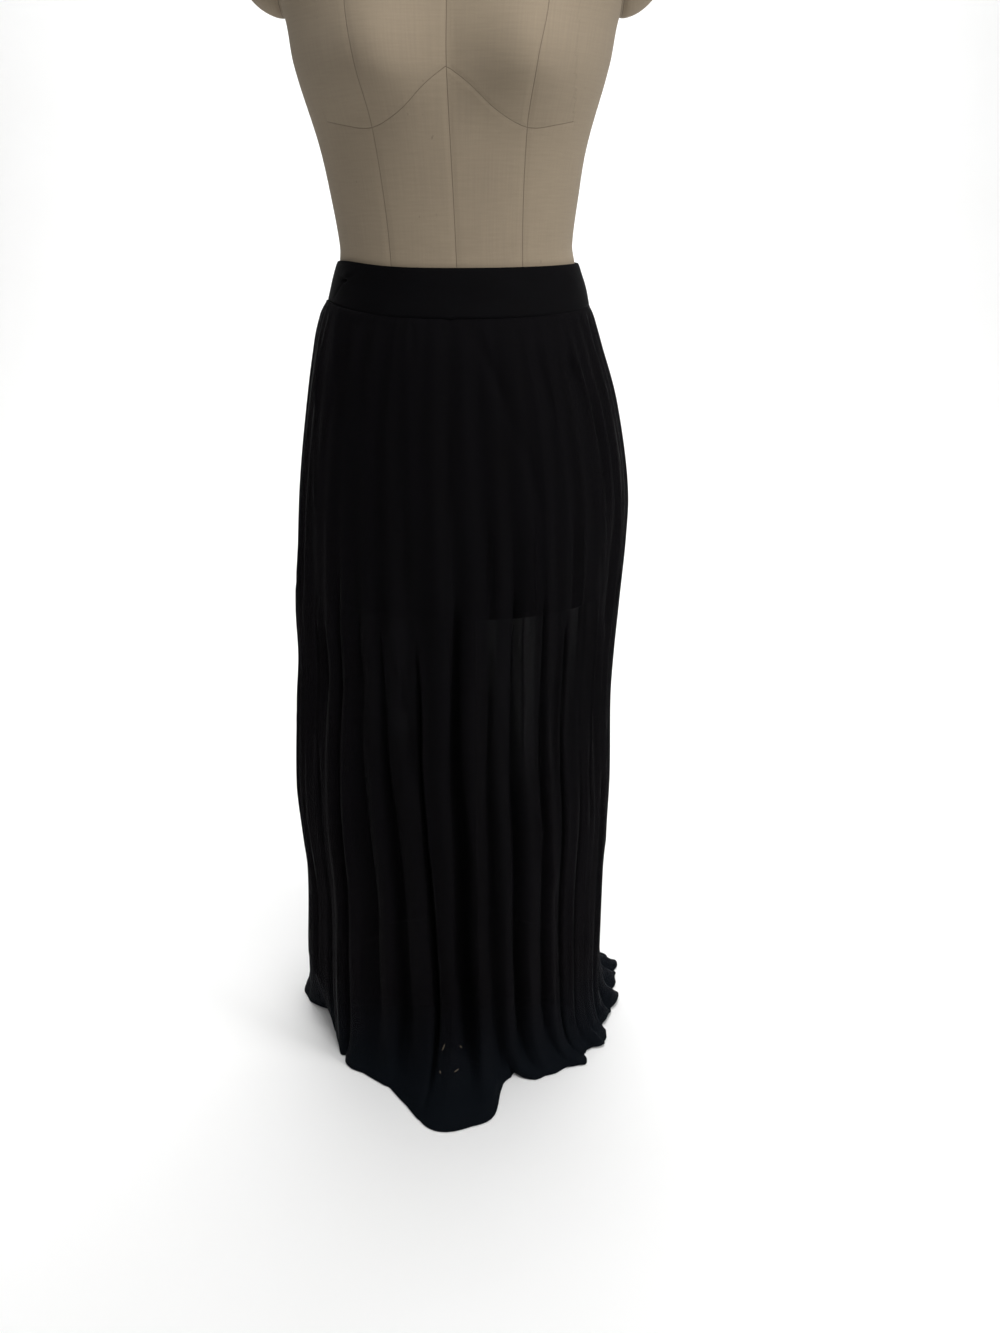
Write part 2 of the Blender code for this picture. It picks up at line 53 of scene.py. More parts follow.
# The same measures as the solids: half widths and depths at each height, in metres.
outline = namedtuple("outline", "z left right front back")
outlines = {
    "form": asRows(
        outline,
        (0.572, 0.156, 0.156, 0.108, 0.138), (0.64, 0.1655, 0.1655, 0.116, 0.148),
        (0.7, 0.1665, 0.1665, 0.118, 0.15), (0.75, 0.163, 0.163, 0.116, 0.146),
        (0.79, 0.157, 0.157, 0.113, 0.1385), (0.854, 0.1435, 0.1435, 0.107, 0.12),
        (0.887, 0.133, 0.133, 0.101, 0.1062), (0.915, 0.1256, 0.1252, 0.093, 0.0965),
        (0.9335, 0.123, 0.1226, 0.0903, 0.093), (0.95, 0.1222, 0.12, 0.0895, 0.0915),
        (0.995, 0.1286, 0.125, 0.092, 0.0925), (1.045, 0.1382, 0.1328, 0.1, 0.099),
        (1.118, 0.1588, 0.153, 0.112, 0.112), (1.158, 0.165, 0.1606, 0.1125, 0.118),
        (1.2, 0.18, 0.175, 0.107, 0.118), (1.24, 0.1855, 0.18, 0.098, 0.112),
        (1.275, 0.179, 0.173, 0.086, 0.102), (1.303, 0.156, 0.151, 0.074, 0.088),
        (1.325, 0.119, 0.115, 0.064, 0.075), (1.345, 0.08, 0.077, 0.057, 0.064),
        (1.372, 0.058, 0.0565, 0.053, 0.056), (1.43, 0.0535, 0.0525, 0.053, 0.054),
    ),
    "band": asRows(
        outline,
        (0.8868, 0.1398, 0.1405, 0.1085, 0.114), (0.908, 0.1338, 0.1348, 0.101, 0.1052),
        (0.9335, 0.1262, 0.1266, 0.0936, 0.0964),
    ),
    "skirt": asRows(
        outline,
        (0.085, 0.205, 0.175, 0.157, 0.17), (0.21, 0.2, 0.1765, 0.155, 0.168),
        (0.325, 0.205, 0.1803, 0.1535, 0.168), (0.445, 0.1982, 0.1768, 0.15, 0.168),
        (0.502, 0.1926, 0.1786, 0.1478, 0.168), (0.559, 0.1922, 0.1824, 0.1455, 0.168),
        (0.632, 0.1872, 0.1874, 0.1415, 0.167), (0.701, 0.1804, 0.187, 0.138, 0.164),
        (0.79, 0.1662, 0.1718, 0.132, 0.153), (0.854, 0.1526, 0.152, 0.121, 0.133),
        (0.8865, 0.1398, 0.1405, 0.1085, 0.114),
    ),
}

ovalPower = 2.2  # 2 is an ellipse, more is squarer

# Half the height of pleats and of larger folds, at each height.
depth = namedtuple("depth", "z pleat fold")
foldDepths = asRows(
    depth,
    (0.000, 0.0012, 0.0080),
    (0.085, 0.0018, 0.0088),
    (0.300, 0.0022, 0.0074),
    (0.460, 0.0022, 0.0050),
    (0.600, 0.0016, 0.0020),
    (0.720, 0.0011, 0.0008),
    (0.830, 0.0007, 0.0002),
    (0.868, 0.0004, 0.0000),
    (0.8865, 0.0000, 0.0000),
)

# Larger folds: the pleat each starts at, the degrees it leans by the floor, and its depth.
fold = namedtuple("fold", "start lean depth")
folds = asRows(
    fold,
    (0.70, 1, 0.90), (2.08, 2, 1.00), (3.55, 2, 0.90), (5.00, 1, 1.00), (6.30, 0, 1.00),
    (7.20, 8, 0.90), (8.30, 13, 1.10), (10.04, 4, 1.25), (11.54, 3, 1.00), (12.40, 6, 0.90),
    (13.59, 8, 1.10), (14.60, 10, 0.50), (15.95, 8, 1.10), (16.88, 10, 0.80), (17.75, 11, 0.80),
    (19.40, 9, 0.90), (21.20, 6, 0.90), (22.80, 4, 1.00), (24.10, 2, 0.85), (25.40, 0, 1.10),
    (26.60, -2, 0.90), (27.80, -4, 1.05), (29.20, -5, 1.15), (30.70, -3, 0.85), (32.25, -1, 0.95),
    (33.75, 0, 1.20), (35.10, 2, 0.90), (36.20, 4, 0.85), (37.60, 6, 1.15), (38.80, 5, 0.90),
    (40.10, 3, 1.05), (41.70, 1, 0.90), (43.30, 0, 1.00),
)

# How far the hem lies from the pole at each turn in degrees from the centre front.
hemPoint = namedtuple("hemPoint", "turn reach")
hemLine = asRows(
    hemPoint,
    (-97.0, 0.221), (-93.5, 0.220), (-90.0, 0.217), (-84.5, 0.196), (-78.0, 0.166), (-70.0, 0.166),
    (-61.5, 0.183), (-46.0, 0.197), (-31.0, 0.194), (-19.0, 0.212), (-8.0, 0.246), (1.0, 0.244),
    (9.5, 0.226), (15.0, 0.181), (20.0, 0.169), (23.2, 0.160), (25.0, 0.174), (31.0, 0.187),
    (42.0, 0.188), (48.5, 0.201), (55.0, 0.188), (61.0, 0.202), (73.0, 0.190), (88.0, 0.202),
    (101.0, 0.206), (112.0, 0.222), (131.0, 0.192), (145.0, 0.212), (158.0, 0.199), (177.0, 0.238),
    (199.0, 0.199), (213.0, 0.213), (227.0, 0.194), (241.0, 0.209), (252.0, 0.199), (263.0, 0.221),
)

# The way from the foot of the skirt out along the floor.
floorStep = namedtuple("floorStep", "way share height ripple")
floorWay = asRows(
    floorStep,
    (0.00, 0.00, 0.0850, 0.0),
    (0.28, 0.13, 0.0460, 0.0),
    (0.52, 0.40, 0.0180, 0.5),
    (0.74, 0.68, 0.0068, 1.0),
    (1.00, 1.00, 0.0007, 0.7),
)


def smoothCurve(keys, values, at):
    # a smooth curve through a table, level with its neighbours at each row
    at = min(max(at, keys[0]), keys[-1])
    i = max(n for n in range(len(keys) - 1) if keys[n] <= at)

    def slope(n):
        before, after = max(n - 1, 0), min(n + 1, len(keys) - 1)
        return (values[after] - values[before]) / (keys[after] - keys[before])

    span = keys[i + 1] - keys[i]
    t = (at - keys[i]) / span
    return (
        (2 * t**3 - 3 * t**2 + 1) * values[i]
        + (t**3 - 2 * t**2 + t) * span * slope(i)
        + (3 * t**2 - 2 * t**3) * values[i + 1]
        + (t**3 - t**2) * span * slope(i + 1)
    )


@cache
def rowAt(table, at):
    # the further columns of a table, read where its first column is at
    first, *others = zip(*table)
    return tuple(smoothCurve(first, column, at) for column in others)


def outlinePoint(name, z, turn, inset=0.0):
    # a rounded oval whose left, right, front and back halves each have their own size
    left, right, front, back = rowAt(outlines[name], z)
    across, along = sin(turn), cos(turn)
    halfX = (right if across > 0 else left) - inset
    halfY = (front if along > 0 else back) - inset
    power = 2 / ovalPower
    return Vector(
        (
            copysign(halfX * abs(across) ** power, across),
            -copysign(halfY * abs(along) ** power, along),
            z,
        )
    )


def bump(value, middle, width):
    return exp(-(((value - middle) / width) ** 2))


def easeIn(value, low, high):
    t = min(max((value - low) / (high - low), 0.0), 1.0)
    return t * t * (3 - 2 * t)


def degreesFrom(first, turn):
    # the turn in degrees, counted on from the first
    return (degrees(turn) - first) % 360 + first


# Soft unevenness: its strength, how quickly it changes round and down the cloth, and its seed.
unevenness = {
    "stray": (1, 0.45, 6.0, 17.0),
    "pleat": (0.6, 0.5, 5.0, 41.0),
    "fold": (0.35, 2.3, 6.0, 23.0),
    "broad": (0.0014, 0.55, 4.0, 4.3),
    "long": (1, 1.7, 3.2, 11.3),
    "gathers": (0.0012, 2.1, 2.0, 17.3),
    "wandering": (1, 0.9, 2.6, 23.3),
    "hemLift": (0.0022, 0.8, 1.5, 31.0),
    "band": (0.0007, 0.045, 40.0, 2.0),
    "liningWave": (0.0016, 0.035, 4.0, 9.0),
    "liningCrease": (0.0004, 0.08, 14.0, 5.0),
}


def unevenAt(kind, place, down):
    strength, aroundScale, downScale, seed = unevenness[kind]
    return strength * noise.noise(Vector((place * aroundScale, down * downScale, seed)))


def evenSteps(count):
    return [n / count for n in range(count + 1)]


# Finishes


def colourOf(hexText):
    # sRGB hex to the linear values that the shader takes
    channels = [int(hexText[n : n + 2], 16) / 255 for n in (1, 3, 5)]
    return tuple(c / 12.92 if c <= 0.04045 else ((c + 0.055) / 1.055) ** 2.4 for c in channels) + (1.0,)


finishes = {}


def feed(node, name, value):
    # value is a number, a hex colour or the output of another node
    if isinstance(value, bpy.types.NodeSocket):
        node.id_data.links.new(value, node.inputs[name])
    else:
        node.inputs[name].default_value = colourOf(value) if isinstance(value, str) else value


def newMaterial(slot, name, baseHex, roughness, specular=0.5, **others):
    material = finishes[slot] = bpy.data.materials.new(name)
    material.use_nodes = True
    shader = material.node_tree.nodes["Principled BSDF"]
    settings = {"Base Color": baseHex, "Roughness": roughness, "Specular IOR Level": specular}
    for socket, value in {**settings, **others}.items():
        feed(shader, socket, value)
    return shader


def addNode(near, kind, settings=None):
    # near is a node or socket of the same material; settings name a property of the node, one of
    # its inputs or the number of one
    node = near.id_data.nodes.new(kind)
    for name, value in (settings or {}).items():
        if isinstance(name, str) and hasattr(node, name):
            setattr(node, name, value)
        else:
            feed(node, name, value)
    return node


def clothUv(shader):
    return addNode(shader, "ShaderNodeUVMap").outputs["UV"]


def objectPlace(shader):
    return addNode(shader, "ShaderNodeTexCoord").outputs["Object"]


def stretched(vector, x, y, z=1.0):
    return addNode(vector, "ShaderNodeMapping", {"Scale": (x, y, z), "Vector": vector}).outputs[0]


def noiseField(vector, scale=1.0, detail=2.0, distortion=0.0):
    settings = {"Scale": scale, "Detail": detail, "Distortion": distortion, "Vector": vector}
    return addNode(vector, "ShaderNodeTexNoise", settings).outputs["Fac"]


def calculated(operation, *terms):
    settings = {"operation": operation, **dict(enumerate(terms))}
    return addNode(terms[0], "ShaderNodeMath", settings).outputs[0]


def ranged(value, low, high, toLow=0.0, toHigh=1.0, kind="LINEAR"):
    settings = {"interpolation_type": kind, "From Min": low, "From Max": high, "Value": value}
    return addNode(value, "ShaderNodeMapRange", {**settings, "To Min": toLow, "To Max": toHigh}).outputs[0]


def blendColours(share, first, second):
    settings = {"data_type": "RGBA", "Factor": share, 6: first, 7: second}
    return addNode(share, "ShaderNodeMix", settings).outputs[2]


def weaveHeight(uv, spacing, slub):
    # plain weave: the higher of warp and weft, with some wander so threads look spun
    bandGap = 0.314  # from one band to the next at scale 1
    wave = {"Scale": bandGap / spacing, "Distortion": slub, "Detail Scale": 0.3, "Vector": uv}
    warp, weft = (
        addNode(uv, "ShaderNodeTexWave", {"bands_direction": way, **wave}).outputs["Fac"] for way in "XY"
    )
    return calculated("MAXIMUM", warp, weft)


def creaseHeight(vector, sharp):
    # noise folded at its middle value, which leaves narrow crease lines that wander
    centred = calculated("SUBTRACT", noiseField(vector, detail=0.5), 0.5)
    return ranged(calculated("ABSOLUTE", centred), 0.0, sharp, 1.0, 0.0, "SMOOTHSTEP")


def stackBumps(shader, *layers):
    # each layer is (height, depth in metres, strength), laid one over the other
    below = {}
    for height, depth, strength in layers:
        settings = {"Distance": depth, "Strength": strength, "Height": height, **below}
        below = {"Normal": addNode(shader, "ShaderNodeBump", settings).outputs["Normal"]}
    feed(shader, "Normal", below["Normal"])


def chiffonMaterial():
    # polyester chiffon in crepe yarn: sheer and matt, a faint grain, heat-set crinkles down its length
    closeCover, sheerCover = 0.92, 0.76
    shader = newMaterial("chiffon", "black crepe chiffon", "#070708", 0.80, 0.05, Alpha=closeCover)
    uv = clothUv(shader)
    grain = weaveHeight(uv, 0.0010, 1.5)  # yarns lie 0.25 mm apart, drawn at 1 mm to show
    crinkle = creaseHeight(stretched(uv, 30, 3), 0.08)
    stackBumps(shader, (grain, 0.0001, 0.08), (crinkle, 0.0012, 0.22))
    tone = noiseField(stretched(uv, 30, 7), detail=3.0)
    woven = blendColours(tone, "#050405", "#08070a")
    # painted light: cooler and a little paler where it lies on the floor, standing in for light from above
    # and from the pale floor on the cloth that lies flat
    length = addNode(uv, "ShaderNodeSeparateXYZ", {"Vector": uv}).outputs["Y"]
    paintedFloorLight = ranged(length, -0.76, -0.90, kind="SMOOTHSTEP")
    feed(shader, "Base Color", blendColours(paintedFloorLight, woven, "#090d12"))
    # more light passes where it hangs in one layer
    sheer = addNode(shader, "ShaderNodeAttribute", {"attribute_name": "sheer"}).outputs["Fac"]
    feed(shader, "Alpha", ranged(sheer, 0.0, 1.0, closeCover, sheerCover))


def bandMaterial():
    # polyester crepe, fused to interfacing and pressed flat: close, matt and even
    shader = newMaterial("band_crepe", "black pressed crepe", "#08080a", 0.74, 0.05)
    uv = clothUv(shader)
    grain = weaveHeight(uv, 0.0009, 1.0)  # yarns 0.3 mm apart, drawn at 0.9 mm
    slow = noiseField(stretched(uv, 34, 60), detail=3.0)
    stackBumps(shader, (grain, 0.0002, 0.3), (slow, 0.0014, 0.35))
    feed(shader, "Base Color", blendColours(slow, "#040304", "#050507"))


def liningMaterial():
    # polyester taffeta, calendered smooth: a soft sheen on a close weave
    shader = newMaterial("lining_satin", "black lining taffeta", "#0a0a0b", 0.48, 0.25)
    uv = clothUv(shader)
    grain = weaveHeight(uv, 0.0008, 0.6)  # threads 0.2 mm apart, drawn at 0.8 mm
    slow = noiseField(stretched(uv, 26, 9))
    stackBumps(shader, (grain, 0.0002, 0.2), (slow, 0.002, 0.4))
    feed(shader, "Base Color", blendColours(slow, "#08080a", "#0e0e10"))


def linenMaterial():
    # unbleached linen stretched over padding: matt, warm grey-beige, slubs across, fine sewn seams
    shader = newMaterial("form_linen", "unbleached linen", "#8f8270", 0.92, 0.2, **{"Sheen Weight": 0.05})
    uv = clothUv(shader)
    grain = weaveHeight(uv, 0.0012, 2.0)  # threads 0.5 mm apart, drawn at 1.2 mm
    slub = noiseField(stretched(uv, 26, 420), detail=4.0)
    warpSlub = noiseField(stretched(uv, 380, 18), detail=4.0)
    worn = calculated("MULTIPLY", warpSlub, noiseField(uv, 9.0, 5.0))
    spots = ranged(noiseField(uv, 70.0), 0.72, 0.80)
    woven = blendColours(slub, "#877a67", "#938672")
    woven = blendColours(worn, woven, "#7c6f61")
    woven = blendColours(spots, woven, "#74675a")

    # distance to the nearest sewn line, kept on the mesh one set of seams to an axis
    seams = addNode(shader, "ShaderNodeAttribute", {"attribute_name": "seamDistance"}).outputs["Vector"]
    split = addNode(seams, "ShaderNodeSeparateXYZ", {"Vector": seams}).outputs
    first, second, third = (calculated("ABSOLUTE", side) for side in split)
    nearest = calculated("MINIMUM", calculated("MINIMUM", first, second), third)
    groove = ranged(nearest, 0.0, 0.0006, kind="SMOOTHSTEP")
    drawn = ranged(nearest, 0.0, 0.006, kind="SMOOTHSTEP")
    feed(shader, "Base Color", blendColours(groove, "#6f6253", woven))
    bumps = (grain, 0.0002, 0.18), (slub, 0.0004, 0.25), (drawn, 0.0008, 0.5), (groove, 0.0006, 0.7)
    stackBumps(shader, *bumps)


def brushedSteelMaterial():
    # drawn steel tube and bar, brushed along their length: bright, with fine uneven scratches
    shader = newMaterial("stand_steel", "brushed steel", "#c0c1c2", 0.32, Metallic=1.0)
    place = objectPlace(shader)
    scratches = noiseField(stretched(place, 1500, 1500, 30), detail=3.0)
    handled = noiseField(place, 24.0, 5.0)
    feed(shader, "Base Color", blendColours(handled, "#b4b5b7", "#c8c9ca"))
    feed(shader, "Roughness", ranged(scratches, 0.0, 1.0, 0.24, 0.44))
    stackBumps(shader, (scratches, 0.0001, 0.3))


def woodMaterial():
    # turned beech under satin varnish: pale brown with short fine flecks along the grain
    shader = newMaterial("neck_wood", "varnished beech", "#8a6238", 0.38, **{"Coat Weight": 0.3})
    place = objectPlace(shader)
    grain = noiseField(stretched(place, 28, 330, 330), detail=6.0, distortion=0.4)
    fleck = ranged(noiseField(stretched(place, 220, 1300, 1300)), 0.60, 0.66)
    body = blendColours(grain, "#74502c", "#a27746")
    feed(shader, "Base Color", blendColours(fleck, body, "#5e3f22"))
    stackBumps(shader, (grain, 0.0002, 0.2))


def enamelMaterial():
    # die-cast zinc in black enamel: smooth, with a soft gloss and slight wear
    shader = newMaterial("zip_metal", "black enamelled zinc", "#101011", 0.3, **{"Coat Weight": 0.3})
    place = objectPlace(shader)
    rubbed = noiseField(place, 260.0, 4.0)
    feed(shader, "Base Color", blendColours(rubbed, "#0c0c0d", "#1b1b1d"))
    feed(shader, "Roughness", ranged(rubbed, 0.0, 1.0, 0.22, 0.45))
    stackBumps(shader, (noiseField(place, 1500.0), 0.0001, 0.15))


def sweepMaterial():
    # matt painted studio sweep: near white, with only the faintest mottle
    shader = newMaterial("sweep", "matt white paint", "#f6f6f5", 0.95, 0.1)
    mottle = noiseField(objectPlace(shader), 3.0, 3.0)
    feed(shader, "Base Color", blendColours(mottle, "#f4f4f3", "#f8f8f8"))


for makeFinish in (
    chiffonMaterial, bandMaterial, liningMaterial, linenMaterial,
    brushedSteelMaterial, woodMaterial, enamelMaterial, sweepMaterial,
):
    makeFinish()
print("finishes ready")


# Making pieces


def linkPiece(name, bm, slot):
    mesh = bpy.data.meshes.new(name)
    for face in bm.faces:
        face.smooth = True
    bm.to_mesh(mesh)
    bm.free()
    piece = bpy.data.objects.new(name, mesh)
    mesh.materials.append(finishes[slot])
    scene.collection.objects.link(piece)
    return piece


def spreadGrid(across, down, pointAt, uvSize):
    # a flat grid, laid out as the cloth is cut, whose points then move to where it hangs;
    # across and down are the shares of its width and length at which its rows stand
    bm = bmesh.new()
    columns, rows = len(across) - 1, len(down) - 1
    bmesh.ops.create_grid(bm, x_segments=columns, y_segments=rows, size=0.5)
    shares = {
        vert: (across[round((vert.co.x + 0.5) * columns)], down[round((0.5 - vert.co.y) * rows)])
        for vert in bm.verts
    }
    uvLayer = bm.loops.layers.uv.new("cloth")
    for face in bm.faces:
        for loop in face.loops:
            share = shares[loop.vert]
            loop[uvLayer].uv = (share[0] * uvSize[0], -share[1] * uvSize[1])
    for vert, share in shares.items():
        vert.co = pointAt(*share)
    return bm


def clothPiece(name, across, down, pointAt, flat, slot, wall, mark=None):
    bm = spreadGrid(across, down, pointAt, flat)
    if mark:
        mark(bm)
    piece = linkPiece(name, bm, slot)
    thick = piece.modifiers.new("cloth thickness", "SOLIDIFY")
    thick.thickness = wall
    thick.offset = -1.0
    return piece


def roundPiece(name, first, last, across, rows, pointOf, flat, slot, wall):
    # a piece that lies round the body, between two turns in degrees
    def pointAt(across, down):
        return pointOf(radians(first + (last - first) * across), down)

    return clothPiece(name, across, evenSteps(rows), pointAt, flat, slot, wall)


def closeUp(bm):
    bmesh.ops.holes_fill(bm, edges=bm.edges, sides=0)
    bmesh.ops.recalc_face_normals(bm, faces=bm.faces)


def bevelAll(bm, width, segments):
    bmesh.ops.bevel(
        bm,
        geom=list(bm.edges),
        offset=width,
        offset_type="OFFSET",
        segments=segments,
        profile=0.5,
        affect="EDGES",
        material=-1,
    )


def wear(piece, slot, *nodes):
    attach(piece, wornBody)
    if nodes:
        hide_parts(*nodes)


# Skirt panels: pressed pleats from the waist seam, which open into larger folds below the
# lining and spread on the floor

skirtSettings = {
    "top": 0.8865,
    "foot": 0.085,
    "footShare": 0.86,  # of the cloth's length that hangs, down to the foot
    "tuck": 0.0014,  # how far the top edge goes up inside the band
    "topRoll": 0.0012,
    "pleatsAround": 44,
    "seams": (0, 22, 33, 44),  # side seams and centre back, counted in pleats
    "seamHold": 0.5,  # pleats beside a seam that run straight
    "seamRoll": 0.0010,
    "seamWidth": 0.08,
    "pleatDepth": (1.5, 1.6),  # times the pleats of the solid, above and below the lining's hem
    "pleatCrispness": 0.96,  # 1 is a knife edge
    "wander": 1.3,  # degrees that a fold strays from its line
    "wideGap": 1.5,
    "leanFrom": 0.80,
    "valleySkew": 0.22,
    "slitTop": 0.600,  # where the valleys between folds open
    "slitSpread": 0.070,
    "slitDepth": 0.0070,
    "slitWidth": 0.15,
    "openWidth": 0.52,
    "openBelow": 0.42,  # metres under the slit's top
    "widthVaries": 0.3,
    "longCrease": 0.0006,
    "hipCrease": 0.0012,
    "strayCrease": 0.0013,
    "strayWidth": 0.16,
    # turn and half width in degrees: the smooth spread in front, the round lobe at the left
    # side, the ruffled hem, and the folds that turn along the floor
    "frontLobe": (-10.0, 24.0),
    "leftLobe": (-80.0, 22.0),
    "frill": (82.0, 26.0),
    "swept": (36.0, 18.0),
    "sweep": 8,  # degrees that the swept folds turn
    "hemRipple": 0.004,
    "frillRipple": 1.3,
    "hemRoll": 0.0007,
    "hemFollowsFold": 0.25,
    "leastPool": -0.030,
    "rows": (
        # from and to a share of the length, and how many
        (0.0, 0.012, 8),
        (0.012, 0.24, 34),
        (0.24, 0.42, 42),
        (0.42, 0.86, 68),
        (0.86, 0.985, 24),
        (0.985, 1.0, 8),
    ),
    "columnsPerPleat": 10.5,
    "bunching": 0.6,
    "seamColumns": (-0.09, -0.05, 0.05, 0.09),
    "cloth": 0.0004,
    "seed": 4.3,
}

# Drag lines and dents in the cloth: degrees and height of both ends, half width and depth;
# a depth below zero stands out.
creaseLine = namedtuple("creaseLine", "turnA zA turnB zB width depth")
creaseLines = asRows(
    creaseLine,
    (-24.6, 0.62, -17.8, 0.513, 0.0032, 0.0045), (-17.8, 0.513, -14.2, 0.42, 0.0036, 0.003),
    (-22.0, 0.606, -15.5, 0.5, 0.003, -0.0022), (-12.3, 0.625, -11.8, 0.59, 0.0028, 0.0022),
    (9.0, 0.58, 10.6, 0.47, 0.003, -0.0018), (22.0, 0.4, 32.3, 0.3, 0.0036, -0.0032),
    (32.3, 0.3, 37.5, 0.247, 0.0036, -0.0028), (11.3, 0.496, 15.9, 0.406, 0.0028, 0.0034),
    (-13.9, 0.4, -8.8, 0.296, 0.0034, -0.0026), (-4.2, 0.41, -3.0, 0.325, 0.0028, 0.0026),
    (-51.0, 0.56, -50.0, 0.49, 0.003, 0.0038), (-16.6, 0.52, -17.4, 0.47, 0.0026, 0.0034),
    (22.0, 0.47, 24.5, 0.4, 0.0034, 0.0016), (-5.0, 0.33, 1.0, 0.19, 0.0034, -0.0024),
    (-11.0, 0.48, -9.0, 0.37, 0.0034, -0.0016), (7.5, 0.868, 15.5, 0.808, 0.0046, 0.0028),
    (15.5, 0.808, 18.5, 0.77, 0.0057, 0.0017), (20.0, 0.772, 25.5, 0.7, 0.005, 0.0019),
    (-14.5, 0.88, -13.5, 0.846, 0.004, 0.0018), (-24.0, 0.876, -25.5, 0.8, 0.005, 0.0017),
    (30.0, 0.86, 33.5, 0.79, 0.0044, 0.0016), (46.3, 0.845, 47.3, 0.824, 0.0057, 0.0029),
    (49.5, 0.868, 53.5, 0.76, 0.0032, -0.0026), (53.5, 0.76, 57.0, 0.62, 0.0032, -0.0022),
    (59.0, 0.82, 65.0, 0.64, 0.0034, -0.0024), (69.0, 0.845, 73.0, 0.7, 0.0034, -0.0019),
    (55.5, 0.8, 59.0, 0.69, 0.0032, 0.0021), (-53.0, 0.866, -50.5, 0.826, 0.0032, -0.0033),
    (-50.5, 0.826, -54.0, 0.79, 0.0032, -0.0021), (-39.5, 0.874, -38.3, 0.828, 0.0032, -0.0027),
    (-45.5, 0.876, -44.5, 0.84, 0.004, 0.0029), (-60.0, 0.76, -57.0, 0.69, 0.0032, -0.0027),
    (-66.0, 0.85, -62.0, 0.79, 0.0034, -0.0029), (140.0, 0.866, 150.0, 0.8, 0.0052, 0.0019),
    (205.0, 0.86, 198.0, 0.79, 0.0046, 0.0019), (232.0, 0.85, 229.0, 0.77, 0.0037, -0.0019),
    (118.0, 0.85, 121.0, 0.74, 0.0037, -0.0021),
)
lineEnds = (-0.25, 0.3, 0.7, 1.25)  # shares of a line between which it fades in and out
lineReach = 0.10  # no line reaches further above or below its middle
clothRadius = 0.15  # from the pole, to unroll the cloth

# Stretches that hang in one layer, clear of other folds, so that daylight shows through: the
# middle and half width in degrees, and the heights between which they lie.
sheerPatch = namedtuple("sheerPatch", "turn width low high")
sheerPatches = asRows(
    sheerPatch,
    (28.6, 4.3, 0.400, 0.70),
    (14.6, 1.3, 0.490, 0.70),
    (50.5, 2.6, 0.490, 0.70),
    (-24.0, 2.4, 0.400, 0.50),
    (146.0, 36.0, 0.180, 0.56),
    (215.0, 14.0, 0.300, 0.56),
)


def sheerAt(turn, z):
    most = 0.0
    for patch in sheerPatches:
        off = abs((turn - patch.turn + 180) % 360 - 180)
        side = 1 - easeIn(off, patch.width - 0.5, patch.width + 0.5)
        rise = easeIn(z, patch.low - 0.03, patch.low + 0.09)
        most = max(most, side * rise * (1 - easeIn(z, patch.high - 0.04, patch.high)))
    return most


def markSheer(bm):
    layer = bm.verts.layers.float.new("sheer")
    for vert in bm.verts:
        vert[layer] = sheerAt(degrees(atan2(vert.co.x, -vert.co.y)), vert.co.z)


@cache
def foldGap(place):
    around = skirtSettings["pleatsAround"]
    first = folds[0].start
    at = (place - first) % around + first
    i = max(n for n in range(len(folds)) if folds[n].start <= at)
    k = (i + 1) % len(folds)
    width = (folds[k].start - folds[i].start) % around
    return i, k, (at - folds[i].start) / width, width


@cache
def foldCharacter(index):
    # folds differ a little: where the valley lies, how high it opens, how wide it is
    seed = skirtSettings["seed"]
    return tuple(noise.noise(Vector((index * 3.7 + 0.41, row * 5.1, seed))) for row in (1, 2, 3))


def valleyMiddle(index):
    return 0.5 + skirtSettings["valleySkew"] * foldCharacter(index)[0]


def gapDepth(i, k, width):
    # narrow gaps between folds are shallower
    return (folds[i].depth + folds[k].depth) / 2 * min(1.0, width / skirtSettings["wideGap"])


def skirtTurn(place, z):
    settings = skirtSettings
    i, k, way, _ = foldGap(place)
    lean = radians(folds[i].lean + (folds[k].lean - folds[i].lean) * easeIn(way, 0, 1))
    drop = min(max((settings["leanFrom"] - z) / settings["leanFrom"], 0.0), 1.0)
    stray = unevenAt("stray", place, z) * easeIn(settings["top"] - z, 0.02, 0.30)
    around = 2 * pi * place / settings["pleatsAround"]
    fade = 1 - max(bump(place, seam, settings["seamHold"]) for seam in settings["seams"])
    return around - pi / 2 + lean * drop + radians(settings["wander"]) * stray * fade


def foldInset(place, z):
    # broad hollows above the lining's hem, which turn into narrow valleys with pressed edges
    settings = skirtSettings
    pleat, larger = rowAt(foldDepths, z)
    pressed = 2 / pi * asin(settings["pleatCrispness"] * sin(2 * pi * place))
    i, k, way, width = foldGap(place)
    _, late, broad = foldCharacter(i)
    middle = valleyMiddle(i)
    away = abs(way - middle) / (middle if way < middle else 1 - middle)
    below = settings["slitTop"] + settings["slitSpread"] * late - z
    opened = easeIn(below, 0.0, settings["openBelow"])
    reach = settings["slitWidth"] + (settings["openWidth"] - settings["slitWidth"]) * opened
    reach = min(reach * (1 + settings["widthVaries"] * broad), 1.0)
    side = max(1 - away / reach, 0.0)
    narrow = 0.8 * side + 0.2 * easeIn(side, 0, 1)  # straight walls, a little rounded at both ends
    sharp = easeIn(below, -0.01, 0.03)
    hollow = (1 - cos(2 * pi * way)) / 2 * (1 - sharp) + narrow * sharp
    depth = 2 * larger * (1 + unevenAt("fold", i, z))
    depth += settings["slitDepth"] * easeIn(below, -0.005, 0.05)
    high, low = settings["pleatDepth"]
    strength = 1 + unevenAt("pleat", place, z)
    pressedDepth = pleat * (high + (low - high) * opened) * strength * (1 - pressed)
    return pressedDepth + gapDepth(i, k, width) * depth * hollow


def hemReach(turn):
    return rowAt(hemLine, degreesFrom(hemLine[0].turn, turn))[0]


